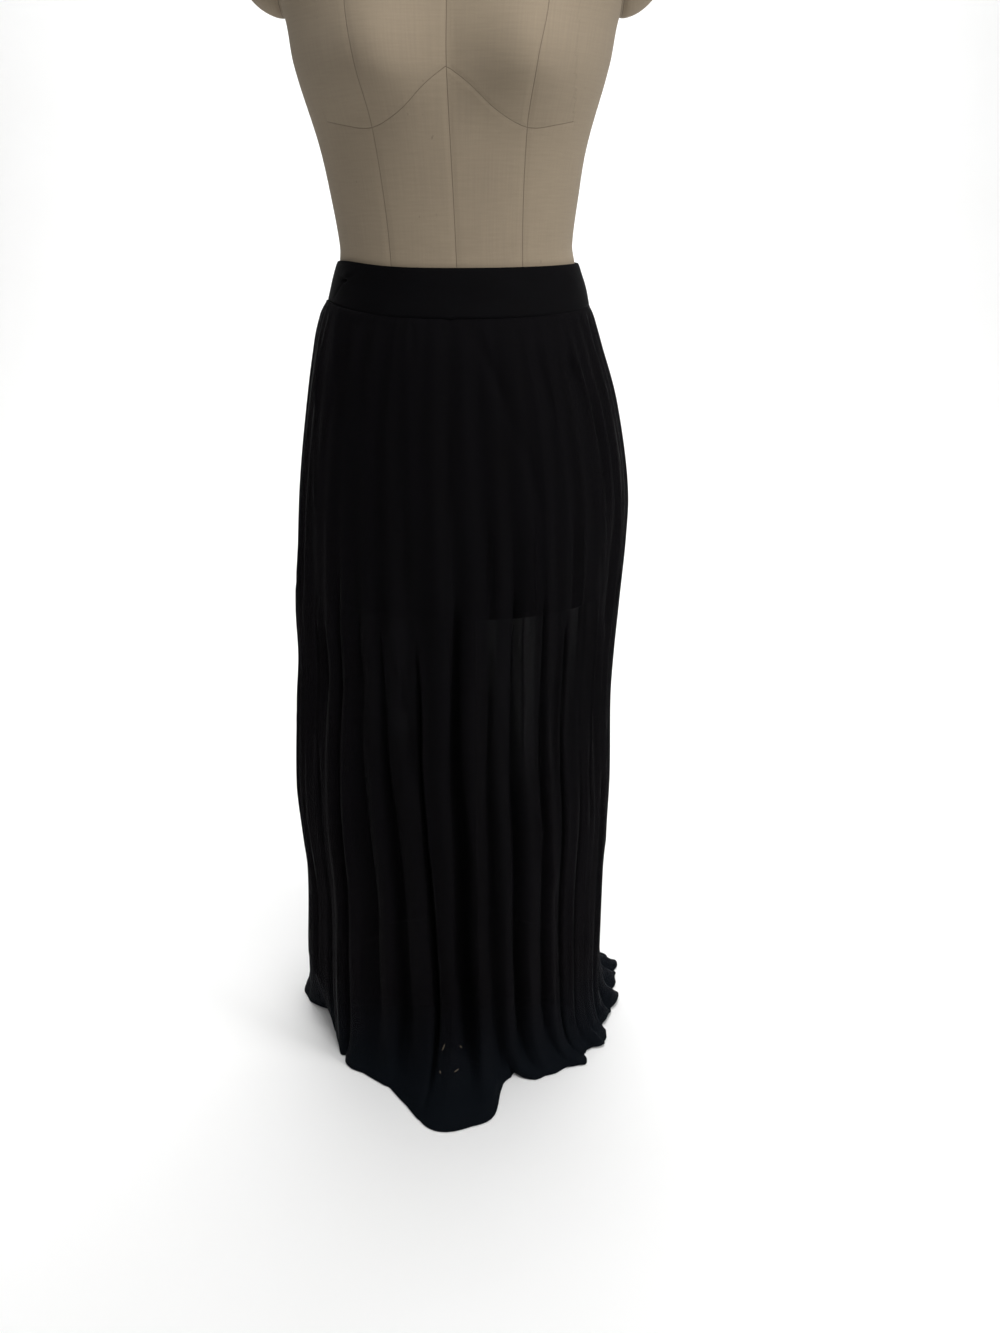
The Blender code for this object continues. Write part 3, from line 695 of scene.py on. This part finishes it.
def lineDepth(turn, z):
    # listed creases, read on the unrolled cloth, so in metres both ways
    heading = degreesFrom(hemLine[0].turn, turn)
    inLow, inHigh, outLow, outHigh = lineEnds
    total = 0.0
    for line in creaseLines:
        if abs(z - (line.zA + line.zB) / 2) > lineReach:
            continue
        along = Vector((radians(line.turnB - line.turnA) * clothRadius, line.zB - line.zA))
        here = Vector((radians(heading - line.turnA) * clothRadius, z - line.zA))
        way = here.dot(along) / along.length_squared
        off = (here - along * min(max(way, 0.0), 1.0)).length
        fade = easeIn(way, inLow, inHigh) * (1 - easeIn(way, outLow, outHigh))
        total += line.depth * exp(-((off / line.width) ** 2)) * fade
    return total


def looseness(place, z):
    # small uneven creases, long down the cloth, gathers under the waist seam, more at the hips
    settings = skirtSettings
    nearTop = bump(z, settings["top"] - 0.020, 0.030)
    hip = abs(cos(2 * pi * place / settings["pleatsAround"])) ** 3 * easeIn(z, 0.45, 0.65)
    hold = easeIn(settings["top"] - z, 0.0, 0.012)
    sharp = max(1 - abs(unevenAt("wandering", place, z)) / settings["strayWidth"], 0.0) ** 1.5
    sharp *= 0.4 + 0.6 * (1 - easeIn(z, 0.58, 0.74))  # fainter over the lining
    soft = unevenAt("broad", place, z) + nearTop * unevenAt("gathers", place, z)
    soft += (settings["longCrease"] + settings["hipCrease"] * hip) * unevenAt("long", place, z)
    return hold * (soft + settings["strayCrease"] * sharp)


# The waist seam sags in front, dips there to a small point, and rides up at both sides, most
# at the left: how far down it goes, the turn where, and the half width in degrees.
waistDips = ((0.0013, -1.3, 1.1), (0.0016, 0, 38), (-0.0085, -78, 34), (-0.0030, 78, 28))


def waistDip(turn):
    heading = degreesFrom(-180, turn)
    return sum(dip * bump(heading, middle, width) for dip, middle, width in waistDips)


def hangingPoint(place, z, roll):
    settings = skirtSettings
    top = settings["top"]
    turn = skirtTurn(place, z)
    inset = foldInset(place, z) + roll + settings["topRoll"] * bump(z, top, 0.0022)
    point = outlinePoint("skirt", z, turn, inset + (lineDepth(turn, z) - looseness(place, z)))
    point.z -= waistDip(turn) * easeIn(z, top - 0.05, top)
    point.z += settings["tuck"] * bump(z, top, 0.0012)
    return point


def floorPoint(place, way, roll):
    # from the foot out along the floor to the hem
    settings = skirtSettings
    foot = settings["foot"]
    folded = foldInset(place, foot)
    start = outlinePoint("skirt", foot, skirtTurn(place, foot), folded - looseness(place, foot))
    turn = atan2(start.x, -start.y)
    frontLobe, leftLobe, frill, swept = (
        bump(degrees(turn), *settings[part]) for part in ("frontLobe", "leftLobe", "frill", "swept")
    )
    begin = hypot(start.x, start.y) + folded
    follow = settings["hemFollowsFold"] * (1 - 0.8 * frontLobe)
    sweep = radians(settings["sweep"]) * swept
    pool = hemReach(turn + sweep) - follow * foldInset(place, 0.0) - begin
    pool = max(pool, settings["leastPool"] - folded)
    share, height, ripple = rowAt(floorWay, way)
    share = max(share, 0.0) ** (1 - 0.6 * leftLobe)
    reach = begin + pool * share - folded * (1 - share) ** 2 - roll
    i, k, gapWay, width = foldGap(place)
    valley = gapDepth(i, k, width) * (1 - cos(2 * pi * gapWay))
    ridge = 1 - valley / 2 * (1 - 0.6 * frontLobe)
    ripple *= 1 - easeIn(way, 0.74, 1.0) * (1 - frill)
    lift = ripple * max(unevenAt("hemLift", place, way), 0.0)
    edge = settings["hemRoll"] * (1 + frill) * bump(way, 1.0, 0.018)  # the rolled hem stands up a little
    height += settings["hemRipple"] * (1 + settings["frillRipple"] * frill) * ridge * ripple
    height += lift * (1 + frill) + edge
    turn += sweep * way * way
    return Vector((reach * sin(turn), -reach * cos(turn), height))


def skirtPoint(place, down, edges):
    settings = skirtSettings
    top, footShare = settings["top"], settings["footShare"]
    roll = settings["seamRoll"] * max(bump(place, edge, settings["seamWidth"]) for edge in edges)
    if down <= footShare:
        return hangingPoint(place, top + (settings["foot"] - top) * down / footShare, roll)
    return floorPoint(place, (down - footShare) / (1 - footShare), roll)


def panelPlaces(first, last):
    # columns of the cloth, closest together in the valleys and on the pressed edges
    settings = skirtSettings
    places = {first, last}
    for i, row in enumerate(folds):
        width = (folds[(i + 1) % len(folds)].start - row.start) % settings["pleatsAround"]
        count = round(width * settings["columnsPerPleat"])
        middle = valleyMiddle(i)
        for n in range(count):
            t = n / count
            t -= settings["bunching"] * sin(4 * pi * t) / (4 * pi)
            way = 2 * middle * t if t < 0.5 else middle + (1 - middle) * (2 * t - 1)
            place = (row.start + way * width) % settings["pleatsAround"]
            if first + 0.03 < place < last - 0.03:
                places.add(place)
    for edge in (first, last):
        places |= {edge + step for step in settings["seamColumns"] if first < edge + step < last}
    return [(place - first) / (last - first) for place in sorted(places)]


def skirtRows():
    # rows stand closer under the waist seam, where the slits begin and along the hem
    rows = [0.0]
    for low, high, count in skirtSettings["rows"]:
        rows += [low + (high - low) * (n + 1) / count for n in range(count)]
    return rows


def makeSkirtPanel(name, first, last, flat, node):
    def pointAt(across, down):
        return skirtPoint(first + (last - first) * across, down, (first, last))

    across, wall = panelPlaces(first, last), skirtSettings["cloth"]
    panel = clothPiece(name, across, skirtRows(), pointAt, flat, "chiffon", wall, markSheer)
    wear(panel, "chiffon", node)
    print(name, len(panel.data.polygons), "faces")


makeSkirtPanel("skirtFront", 0, 22, (0.66, 0.93), "skirt_front")
makeSkirtPanel("skirtBackRight", 22, 33, (0.34, 0.93), "skirt_back_right")
makeSkirtPanel("skirtBackLeft", 33, 44, (0.34, 0.93), "skirt_back_left")


# Waistband: shaped, faced and pressed flat, with a small dent and creases near the left side

bandSettings = {
    "top": 0.9335,
    "bottom": 0.8868,
    "dip": 0.0010,
    "leftRise": (0.0036, -60, 24),  # how far, and the turn and half width in degrees
    "cornerDrop": (0.0016, 100, 17),  # the same, at both sides
    "edgeRoll": (0.0006, 0.0012),  # at the upper and the lower edge
    "edgeWidth": 0.035,
    "pillow": 0.0005,
    "cloth": 0.0024,
    "columns": 200,
    "rows": 56,
    "perDegree": 0.0023,  # metres of band to a degree
    "dentTurn": -58.3,
    "dentHeight": 0.918,
    "dentDepth": 0.0042,
    "dentSize": (0.0036, 0.0016),
    "dentColumns": 0.0016,
}

# Drag lines round the dent, measured from it along and up the band; depths below zero stand out.
bandDrag = namedtuple("bandDrag", "depth slope rise width across reach")
bandDrags = asRows(
    bandDrag,
    (0.0010, 0.30, 0.001, 0.0022, 0.013, 0.010),
    (0.0008, 0.75, -0.002, 0.0026, -0.011, 0.009),
    (-0.0010, 0.00, 0.006, 0.0030, 0.000, 0.010),
)


def bandPoint(turn, down):
    settings = bandSettings
    heading, signed = degrees(turn), degreesFrom(-180, turn)
    leftRise, leftTurn, leftWidth = settings["leftRise"]
    cornerDrop, cornerTurn, cornerWidth = settings["cornerDrop"]
    top = settings["top"] - settings["dip"] * max(cos(turn), 0.0) ** 2
    top += leftRise * bump(signed, leftTurn, leftWidth)
    top -= cornerDrop * bump(abs(signed), cornerTurn, cornerWidth)
    z = top + (settings["bottom"] - waistDip(turn) - top) * down
    upperRoll, lowerRoll = settings["edgeRoll"]
    edgeRoll = lowerRoll * bump(down, 1.0, settings["edgeWidth"])
    edgeRoll += upperRoll * bump(down, 0.0, settings["edgeWidth"])
    pillow = settings["pillow"] * sin(pi * down)
    across = (heading - settings["dentTurn"]) * settings["perDegree"]
    rise = z - settings["dentHeight"]
    dentWidth, dentRise = settings["dentSize"]
    dent = settings["dentDepth"] * exp(-((across / dentWidth) ** 2) - (rise / dentRise) ** 2)
    drags = sum(
        drag.depth
        * bump(rise - drag.slope * across, drag.rise, drag.width)
        * bump(across, drag.across, drag.reach)
        for drag in bandDrags
    )
    inset = edgeRoll - pillow + dent + drags + unevenAt("band", heading, z)
    return outlinePoint("band", z, turn, inset)


def makeBand(name, first, last, columns, flat, node):
    settings = bandSettings
    dent = (settings["dentTurn"] - first) / (last - first)
    closer = {dent + n * settings["dentColumns"] for n in range(-8, 9)}
    across = sorted(set(evenSteps(columns)) | {share for share in closer if 0.1 < share < 0.9})
    band = roundPiece(
        name, first, last, across, settings["rows"], bandPoint, flat, "band_crepe", settings["cloth"]
    )
    wear(band, "band_crepe", node)


frontColumns = bandSettings["columns"]
makeBand("waistbandFront", -90, 90, frontColumns, (0.40, 0.049), "waistband_front")
makeBand("waistbandBackRight", 90, 179.85, frontColumns // 2, (0.20, 0.049), "waistband_back_right")
makeBand("waistbandBackLeft", 180.15, 270, frontColumns // 2, (0.20, 0.049), "waistband_back_left")
print("waistband made")


# Lining: a short plain slip with a narrow turned hem

liningSettings = {
    "top": 0.8852,
    "drawIn": 0.868,  # where it leaves the form for the waist seam
    "seamInset": 0.0019,
    "bottom": 0.580,
    "ease": 0.003,
    "seat": 0.700,
    "cloth": 0.0004,
    "columns": 120,
    "rows": 70,
    "hemStitch": 0.0006,
    "hemDepth": 0.012,
}


def liningPoint(turn, down):
    settings = liningSettings
    heading = degrees(turn)
    z = settings["top"] + (settings["bottom"] - settings["top"]) * down
    drawn = easeIn(z, settings["drawIn"], settings["top"])
    follow = outlinePoint("form", max(z, settings["seat"]), turn, -settings["ease"])
    follow = follow.lerp(outlinePoint("skirt", z, turn, settings["seamInset"]), drawn)
    loose = easeIn(settings["seat"] - z, 0.0, 0.12)
    wave = loose * unevenAt("liningWave", heading, z) + unevenAt("liningCrease", heading, z)
    hemStitch = settings["hemStitch"] * bump(z, settings["bottom"] + settings["hemDepth"], 0.0020)
    away = Vector((follow.x, follow.y, 0.0)).normalized()
    point = follow + away * (wave - hemStitch)
    point.z = z - waistDip(turn) * drawn
    return point


def makeLining(name, first, last, flat, node):
    settings = liningSettings
    across = evenSteps(settings["columns"])
    lining = roundPiece(
        name, first, last, across, settings["rows"], liningPoint, flat, "lining_satin", settings["cloth"]
    )
    wear(lining, "lining_satin", node)


makeLining("liningFront", -89.95, 89.95, (0.46, 0.31), "lining_front")
makeLining("liningBack", 90.05, 269.95, (0.48, 0.31), "lining_back")
print("lining made")


# Dress form: a padded body in linen, sewn from panels

formSettings = {
    "bottom": 0.572,
    "top": 1.430,
    "columns": 176,
    "rows": 230,
    "frontDensity": 0.35,
    "armholes": {-1: 0.1655, 1: 0.1612},
    "bust": (0.078, 1.112),
    "bustRise": 0.031,
    "bustAcross": 0.052,
    "bustUp": 0.062,
    "bustDown": 0.039,
    "capReach": 0.050,
    "capColumns": 72,
    "capRows": 24,
    "capRim": 0.04,  # the share of its rows that lie in the arm's cut
    "capTuck": 0.0010,
    "capGap": 0.0003,
    "capSeam": 0.0022,
}

# Sewn lines of the front and back: the middle, how far the princess seams run from it, and
# the height of the seam under the bust at each distance from it.
middleSeam = (
    (0.57, 0.0130), (0.935, 0.0018), (1.107, -0.0043), (1.161, -0.0034), (1.35, 0.0), (1.43, 0.0),
)
princessFront = (
    (0.57, 0.088), (0.70, 0.082), (0.85, 0.070), (0.9375, 0.0652), (1.058, 0.0729), (1.112, 0.083),
    (1.162, 0.092), (1.25, 0.094), (1.32, 0.086), (1.43, 0.050),
)
princessBack = (
    (0.57, 0.082), (0.70, 0.080), (0.85, 0.068), (0.9375, 0.058), (1.06, 0.068), (1.16, 0.082),
    (1.32, 0.086), (1.43, 0.050),
)
underBust = ((0.0, 1.1084), (0.020, 1.094), (0.045, 1.072), (0.073, 1.058), (0.100, 1.0605), (0.140, 1.070))
underBustEnd = 0.120
sideSeamTop, shoulderFrom = 1.25, 0.06


def formPoint(turn, z):
    settings = formSettings
    point = outlinePoint("form", z, turn)
    if point.y <= 0:
        across = (abs(point.x) - settings["bust"][0]) / settings["bustAcross"]
        up = z - settings["bust"][1]
        up /= settings["bustUp"] if up > 0 else settings["bustDown"]
        point.y -= settings["bustRise"] * exp(-(across**2) - up**2)
    return point


def markSeams(bm, seamsOf):
    # signed distances, so that the shader can find the exact middle of each sewn line
    layer = bm.verts.layers.float_vector.new("seamDistance")
    for vert in bm.verts:
        vert[layer] = seamsOf(*vert.co)


def torsoSeams(x, y, z):
    front = y < 0
    aside = x - rowAt(middleSeam, z)[0] if front else x
    princess = abs(aside) - rowAt(princessFront if front else princessBack, z)[0]
    if not front or abs(aside) > underBustEnd:
        return aside, princess, y if z < sideSeamTop or abs(x) > shoulderFrom else 1.0
    return aside, princess, z - rowAt(underBust, abs(aside))[0]


def makeTorso():
    settings = formSettings

    def pointAt(across, down):
        even = 2 * pi * across
        turn = even - settings["frontDensity"] * sin(even)
        return formPoint(turn, settings["top"] + (settings["bottom"] - settings["top"]) * down)

    bm = spreadGrid(evenSteps(settings["columns"]), evenSteps(settings["rows"]), pointAt, (0.92, 0.86))
    bmesh.ops.remove_doubles(bm, verts=bm.verts, dist=0.00002)
    for side, x in settings["armholes"].items():
        cut = bmesh.ops.bisect_plane(
            bm,
            geom=list(bm.verts) + list(bm.edges) + list(bm.faces),
            plane_co=(side * x, 0, 0),
            plane_no=(side, 0, 0),
            clear_outer=True,
        )
        rim = [item for item in cut["geom_cut"] if isinstance(item, bmesh.types.BMEdge)]
        bmesh.ops.edgeloop_fill(bm, edges=rim)
    closeUp(bm)
    markSeams(bm, torsoSeams)
    wear(linkPiece("formTorso", bm, "form_linen"), "form_linen", "form_torso")


def makeArmCap(name, side, node):
    settings = formSettings
    x = settings["armholes"][side]
    column = 1 if side > 0 else 0
    levels = (1.10 + 0.0005 * n for n in range(500))
    inside = [z for z in levels if rowAt(outlines["form"], z)[column] > x]
    low, high = min(inside), max(inside)
    columns, rows = settings["capColumns"], settings["capRows"]

    def rimPoint(share):
        front = share < 0.5
        step = 2 * share if front else 2 * (1 - share)
        z = (low + high) / 2 - (high - low) / 2 * cos(pi * step)
        width = rowAt(outlines["form"], z)
        out = max(1 - (x / width[column]) ** ovalPower, 0.0) ** (1 / ovalPower)
        return Vector((side * x, -out * width[2] if front else out * width[3], z))

    middle = sum((rimPoint(n / columns) for n in range(columns)), Vector()) / columns

    def pointAt(across, down):
        ray, rimShare = rimPoint(across % 1.0) - middle, settings["capRim"]
        angle = pi / 2 * max(down - rimShare, 0.0) / (1 - rimShare)
        tuck = settings["capTuck"] * bump(down, rimShare, 0.03)
        shrink = cos(angle) if down < 1 else 0.0
        out = side * (settings["capGap"] + settings["capReach"] * sin(angle))
        return middle + ray * shrink - ray.normalized() * tuck * shrink + Vector((out, 0, 0))

    bm = spreadGrid(evenSteps(columns), evenSteps(rows), pointAt, (0.42, 0.09))
    bmesh.ops.remove_doubles(bm, verts=bm.verts, dist=0.00002)
    closeUp(bm)
    markSeams(bm, lambda *place: (1.0, 1.0, abs(place[0]) - x - settings["capSeam"]))
    wear(linkPiece(name, bm, "form_linen"), "form_linen", node)


makeTorso()
makeArmCap("formArmCapLeft", -1, "form_arm_cap_left")
makeArmCap("formArmCapRight", 1, "form_arm_cap_right")
print("dress form made")


# Neck cap and stand: turned and bevelled

standSettings = {
    "capRadius": 0.050,
    "capLow": 1.4303,
    "capHigh": 1.4393,
    "poleRadius": 0.016,
    "poleLow": 0.0303,
    "poleHigh": 0.5717,
    "hubRadius": 0.036,
    "hubHeight": 0.030,
    "barReach": 0.145,
    "barWidth": 0.034,
    "barHeight": 0.014,
    "barEdge": 0.0022,
    "grooves": (0.30, 0.31),  # where the telescoping tube is locked
    "groove": 0.0012,
}


def spinProfile(bm, profile, steps=64):
    # profile is (distance from the axis, height) from the lower end up; its ends lie on the axis
    verts = [bm.verts.new((radius, 0, z)) for radius, z in profile]
    edges = [bm.edges.new(pair) for pair in zip(verts, verts[1:])]
    centre, axis, turn = (0, 0, 0), (0, 0, 1), 2 * pi
    bmesh.ops.spin(bm, geom=verts + edges, cent=centre, axis=axis, angle=turn, steps=steps, use_merge=True)
    bmesh.ops.remove_doubles(bm, verts=bm.verts, dist=0.00001)
    bmesh.ops.recalc_face_normals(bm, faces=bm.faces)


def turnedPiece(name, profile, slot, node, steps=64):
    bm = bmesh.new()
    spinProfile(bm, profile, steps)
    wear(linkPiece(name, bm, slot), slot, node)


def roundedEdge(radius, z, fillet, upper):
    # a quarter round between a side wall and a flat end
    level = z - fillet if upper else z + fillet
    points = []
    for n in range(7):
        angle = pi / 2 * n / 6
        out, up = (cos(angle), sin(angle)) if upper else (sin(angle), -cos(angle))
        points.append((radius - fillet + fillet * out, level + fillet * up))
    return points


def addBlock(bm, size, place, *turns):
    # turns are matrices, made one after the other
    verts = bmesh.ops.create_cube(bm, size=1.0)["verts"]
    bmesh.ops.scale(bm, verts=verts, vec=size)
    for turn in turns:
        bmesh.ops.rotate(bm, verts=verts, cent=(0, 0, 0), matrix=turn)
    bmesh.ops.translate(bm, verts=verts, vec=place)


def makeNeckCap():
    settings = standSettings
    low, high, radius = settings["capLow"], settings["capHigh"], settings["capRadius"]
    edge = high - 0.0012  # the top is a shallow dome inside a turned groove
    profile = [(0, low), (radius - 0.004, low)] + roundedEdge(radius, low, 0.0015, False)
    profile += roundedEdge(radius, edge, 0.003, True)
    profile += [(radius - 0.008, edge), (radius - 0.009, high - 0.0017), (radius - 0.010, edge)]
    profile += [(0.030, high - 0.0006), (0.012, high - 0.0001), (0, high)]
    turnedPiece("neckCap", profile, "neck_wood", "form_neck_cap", 96)


def makePole():
    settings = standSettings
    low, high, radius, cut = (settings[part] for part in ("poleLow", "poleHigh", "poleRadius", "groove"))
    profile = [(0, low)] + roundedEdge(radius, low, 0.001, False)
    for ring in settings["grooves"]:
        profile += [(radius, ring - cut), (radius - cut, ring), (radius, ring + cut)]
    profile += roundedEdge(radius, high, 0.001, True) + [(0, high)]
    turnedPiece("standPole", profile, "stand_steel", "stand_pole")


def makeFoot():
    settings = standSettings
    length, width, height = settings["barReach"] * 2, settings["barWidth"], settings["barHeight"]
    bm = bmesh.new()
    for across, along in ((length, width), (width, length)):
        addBlock(bm, (across, along, height), (0, 0, height / 2))
    bevelAll(bm, settings["barEdge"], 3)
    radius, top = settings["hubRadius"], settings["hubHeight"]
    profile = [(0, 0.001), (radius - 0.003, 0.001), (radius, 0.004)] + roundedEdge(radius, top, 0.006, True)
    profile += [(0.020, top), (0.019, top - 0.0008), (0, top - 0.0008)]
    spinProfile(bm, profile)
    wear(linkPiece("standBase", bm, "stand_steel"), "stand_steel", "stand_base")


makeNeckCap()
makePole()
makeFoot()
print("neck cap and stand made")


# Zip: the slider and its tab keep their solids, and the coil shows in the centre back seam

zipSettings = {
    "seam": 33,  # the centre back, counted in pleats
    "top": 0.9200,
    "bottom": 0.7400,
    "pitch": 0.0013,
    "tooth": (0.0019, 0.0008, 0.0007),
    "lean": 14,
    "edge": 0.00016,
    "sunk": 0.0006,  # under the skirt, and twice that under the thicker band
}


def zipLine(z):
    seam, sunk = zipSettings["seam"], zipSettings["sunk"]
    if z > bandSettings["bottom"]:
        return outlinePoint("band", z, pi, sunk + sunk)
    inset = foldInset(seam, z) + skirtSettings["seamRoll"] - looseness(seam, z) + sunk
    return outlinePoint("skirt", z, skirtTurn(seam, z), inset)


def makeZipCoil():
    settings = zipSettings
    bm = bmesh.new()
    for n in range(int((settings["top"] - settings["bottom"]) / settings["pitch"])):
        z = settings["top"] - settings["pitch"] * n
        here, below = zipLine(z), zipLine(z - settings["pitch"])
        lean = radians(settings["lean"] if n % 2 else -settings["lean"])
        slope = atan2(here.y - below.y, settings["pitch"])
        turns = Matrix.Rotation(lean, 3, "Y"), Matrix.Rotation(-slope, 3, "X")
        addBlock(bm, settings["tooth"], here, *turns)
    bevelAll(bm, settings["edge"], 1)
    wear(linkPiece("zipCoil", bm, "zip_metal"), "zip_metal")


makeZipCoil()
for node in ("zip_slider", "zip_pull"):
    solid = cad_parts[node]
    solid.data.materials.clear()
    solid.data.materials.append(finishes["zip_metal"])
print("zip made")


# A few loose ends of pale thread that lie on the cloth low in front

threadEnd = namedtuple("threadEnd", "placeA downA placeB downB")
threadEnds = asRows(
    threadEnd,
    (9.95, 0.8910, 9.86, 0.8975),
    (9.84, 0.9190, 9.88, 0.9215),
    (10.32, 0.9185, 10.42, 0.9178),
    (10.45, 0.8955, 10.50, 0.8995),
)
threadSettings = {"radius": 0.00026, "above": 0.0004}


def makeThreadEnd(name, ends):
    radius, above = threadSettings["radius"], threadSettings["above"]

    def lineAt(share):
        place = ends.placeA + (ends.placeB - ends.placeA) * share
        return skirtPoint(place, ends.downA + (ends.downB - ends.downA) * share, (0, 22))

    def pointAt(across, down):
        line, angle = lineAt(down), 2 * pi * across
        away = Vector((line.x, line.y, 0.12)).normalized()
        side = away.cross(lineAt(1) - lineAt(0)).normalized()
        return line + away * (above + radius * sin(angle)) + side * radius * cos(angle)

    bm = spreadGrid(evenSteps(8), evenSteps(6), pointAt, (0.002, 0.006))
    bmesh.ops.remove_doubles(bm, verts=bm.verts, dist=0.00001)
    closeUp(bm)
    markSeams(bm, lambda *place: (1.0, 1.0, 1.0))
    wear(linkPiece(name, bm, "form_linen"), "form_linen")


for number, ends in enumerate(threadEnds, 1):
    makeThreadEnd("looseThread%d" % number, ends)


# Room, light and camera

roomSettings = {
    "sky": 0.25,
    "lights": (
        # name, place, aim, size, watts
        ("right softbox", (2.5, -1.2, 1.9), (0, 0, 0.75), 1.1, 41),
        ("front softbox", (0.2, -0.8, 2.15), (0, 0, 1.2), 0.7, 13),
        ("overhead softbox", (0.0, 0.6, 3.6), (0, 0.2, 0.0), 2.6, 46),
        ("backdrop softbox", (0.0, 1.2, 3.4), (0, 3.6, 0.6), 2.2, 90),
    ),
    "camera": (0.0446, -1.33, 1.00),
    "pitch": 68.5,
    "lens": 32.41,
    "sweepSize": (10.0, 9.0),  # across, and along until its rise grows steeper
    "sweepFront": -3.5,
    "sweepFlat": 5.5,
    "sweepBend": 1.8,
}


def sweepPoint(across, down):
    # flat towards the camera, then round and up behind the form
    settings = roomSettings
    width, reach = settings["sweepSize"]
    bend, flat, front = settings["sweepBend"], settings["sweepFlat"], settings["sweepFront"]
    x, length = width * (across - 0.5), reach * down
    if length < flat:
        return Vector((x, length + front, 0.0))
    angle = min((length - flat) / bend, pi / 2)
    rise = max(length - flat - bend * pi / 2, 0.0)
    return Vector((x, flat + front + bend * sin(angle), bend * (1 - cos(angle)) + rise * 4))


def makeRoom():
    bm = spreadGrid(evenSteps(4), evenSteps(90), sweepPoint, roomSettings["sweepSize"])
    bmesh.ops.recalc_face_normals(bm, faces=bm.faces)
    if sum(face.normal.z for face in bm.faces) < 0:
        bmesh.ops.reverse_faces(bm, faces=bm.faces)
    floor = linkPiece("floor", bm, "sweep")

    world = bpy.data.worlds.new("studio")
    world.use_nodes = True
    sky = world.node_tree.nodes["Background"]
    sky.inputs["Color"].default_value = (1, 1, 1, 1)
    sky.inputs["Strength"].default_value = roomSettings["sky"]
    scene.world = world
    scene.view_settings.view_transform = "Standard"

    for name, place, aim, size, watts in roomSettings["lights"]:
        light = bpy.data.lights.new(name, "AREA")
        light.size = size
        light.energy = watts
        lamp = bpy.data.objects.new(name, light)
        lamp.location = place
        lamp.rotation_euler = (Vector(aim) - Vector(place)).to_track_quat("-Z", "Y").to_euler()
        scene.collection.objects.link(lamp)


def makeCamera():
    settings = roomSettings
    lens = bpy.data.cameras.new("camera")
    lens.sensor_fit = "VERTICAL"
    lens.sensor_height = 36.0
    lens.lens = settings["lens"]
    lens.clip_start = 0.01
    camera = bpy.data.objects.new("camera", lens)
    camera.location = settings["camera"]
    camera.rotation_euler = (radians(settings["pitch"]), 0.0, 0.0)
    scene.collection.objects.link(camera)
    scene.camera = camera


makeRoom()
makeCamera()
print("room ready")
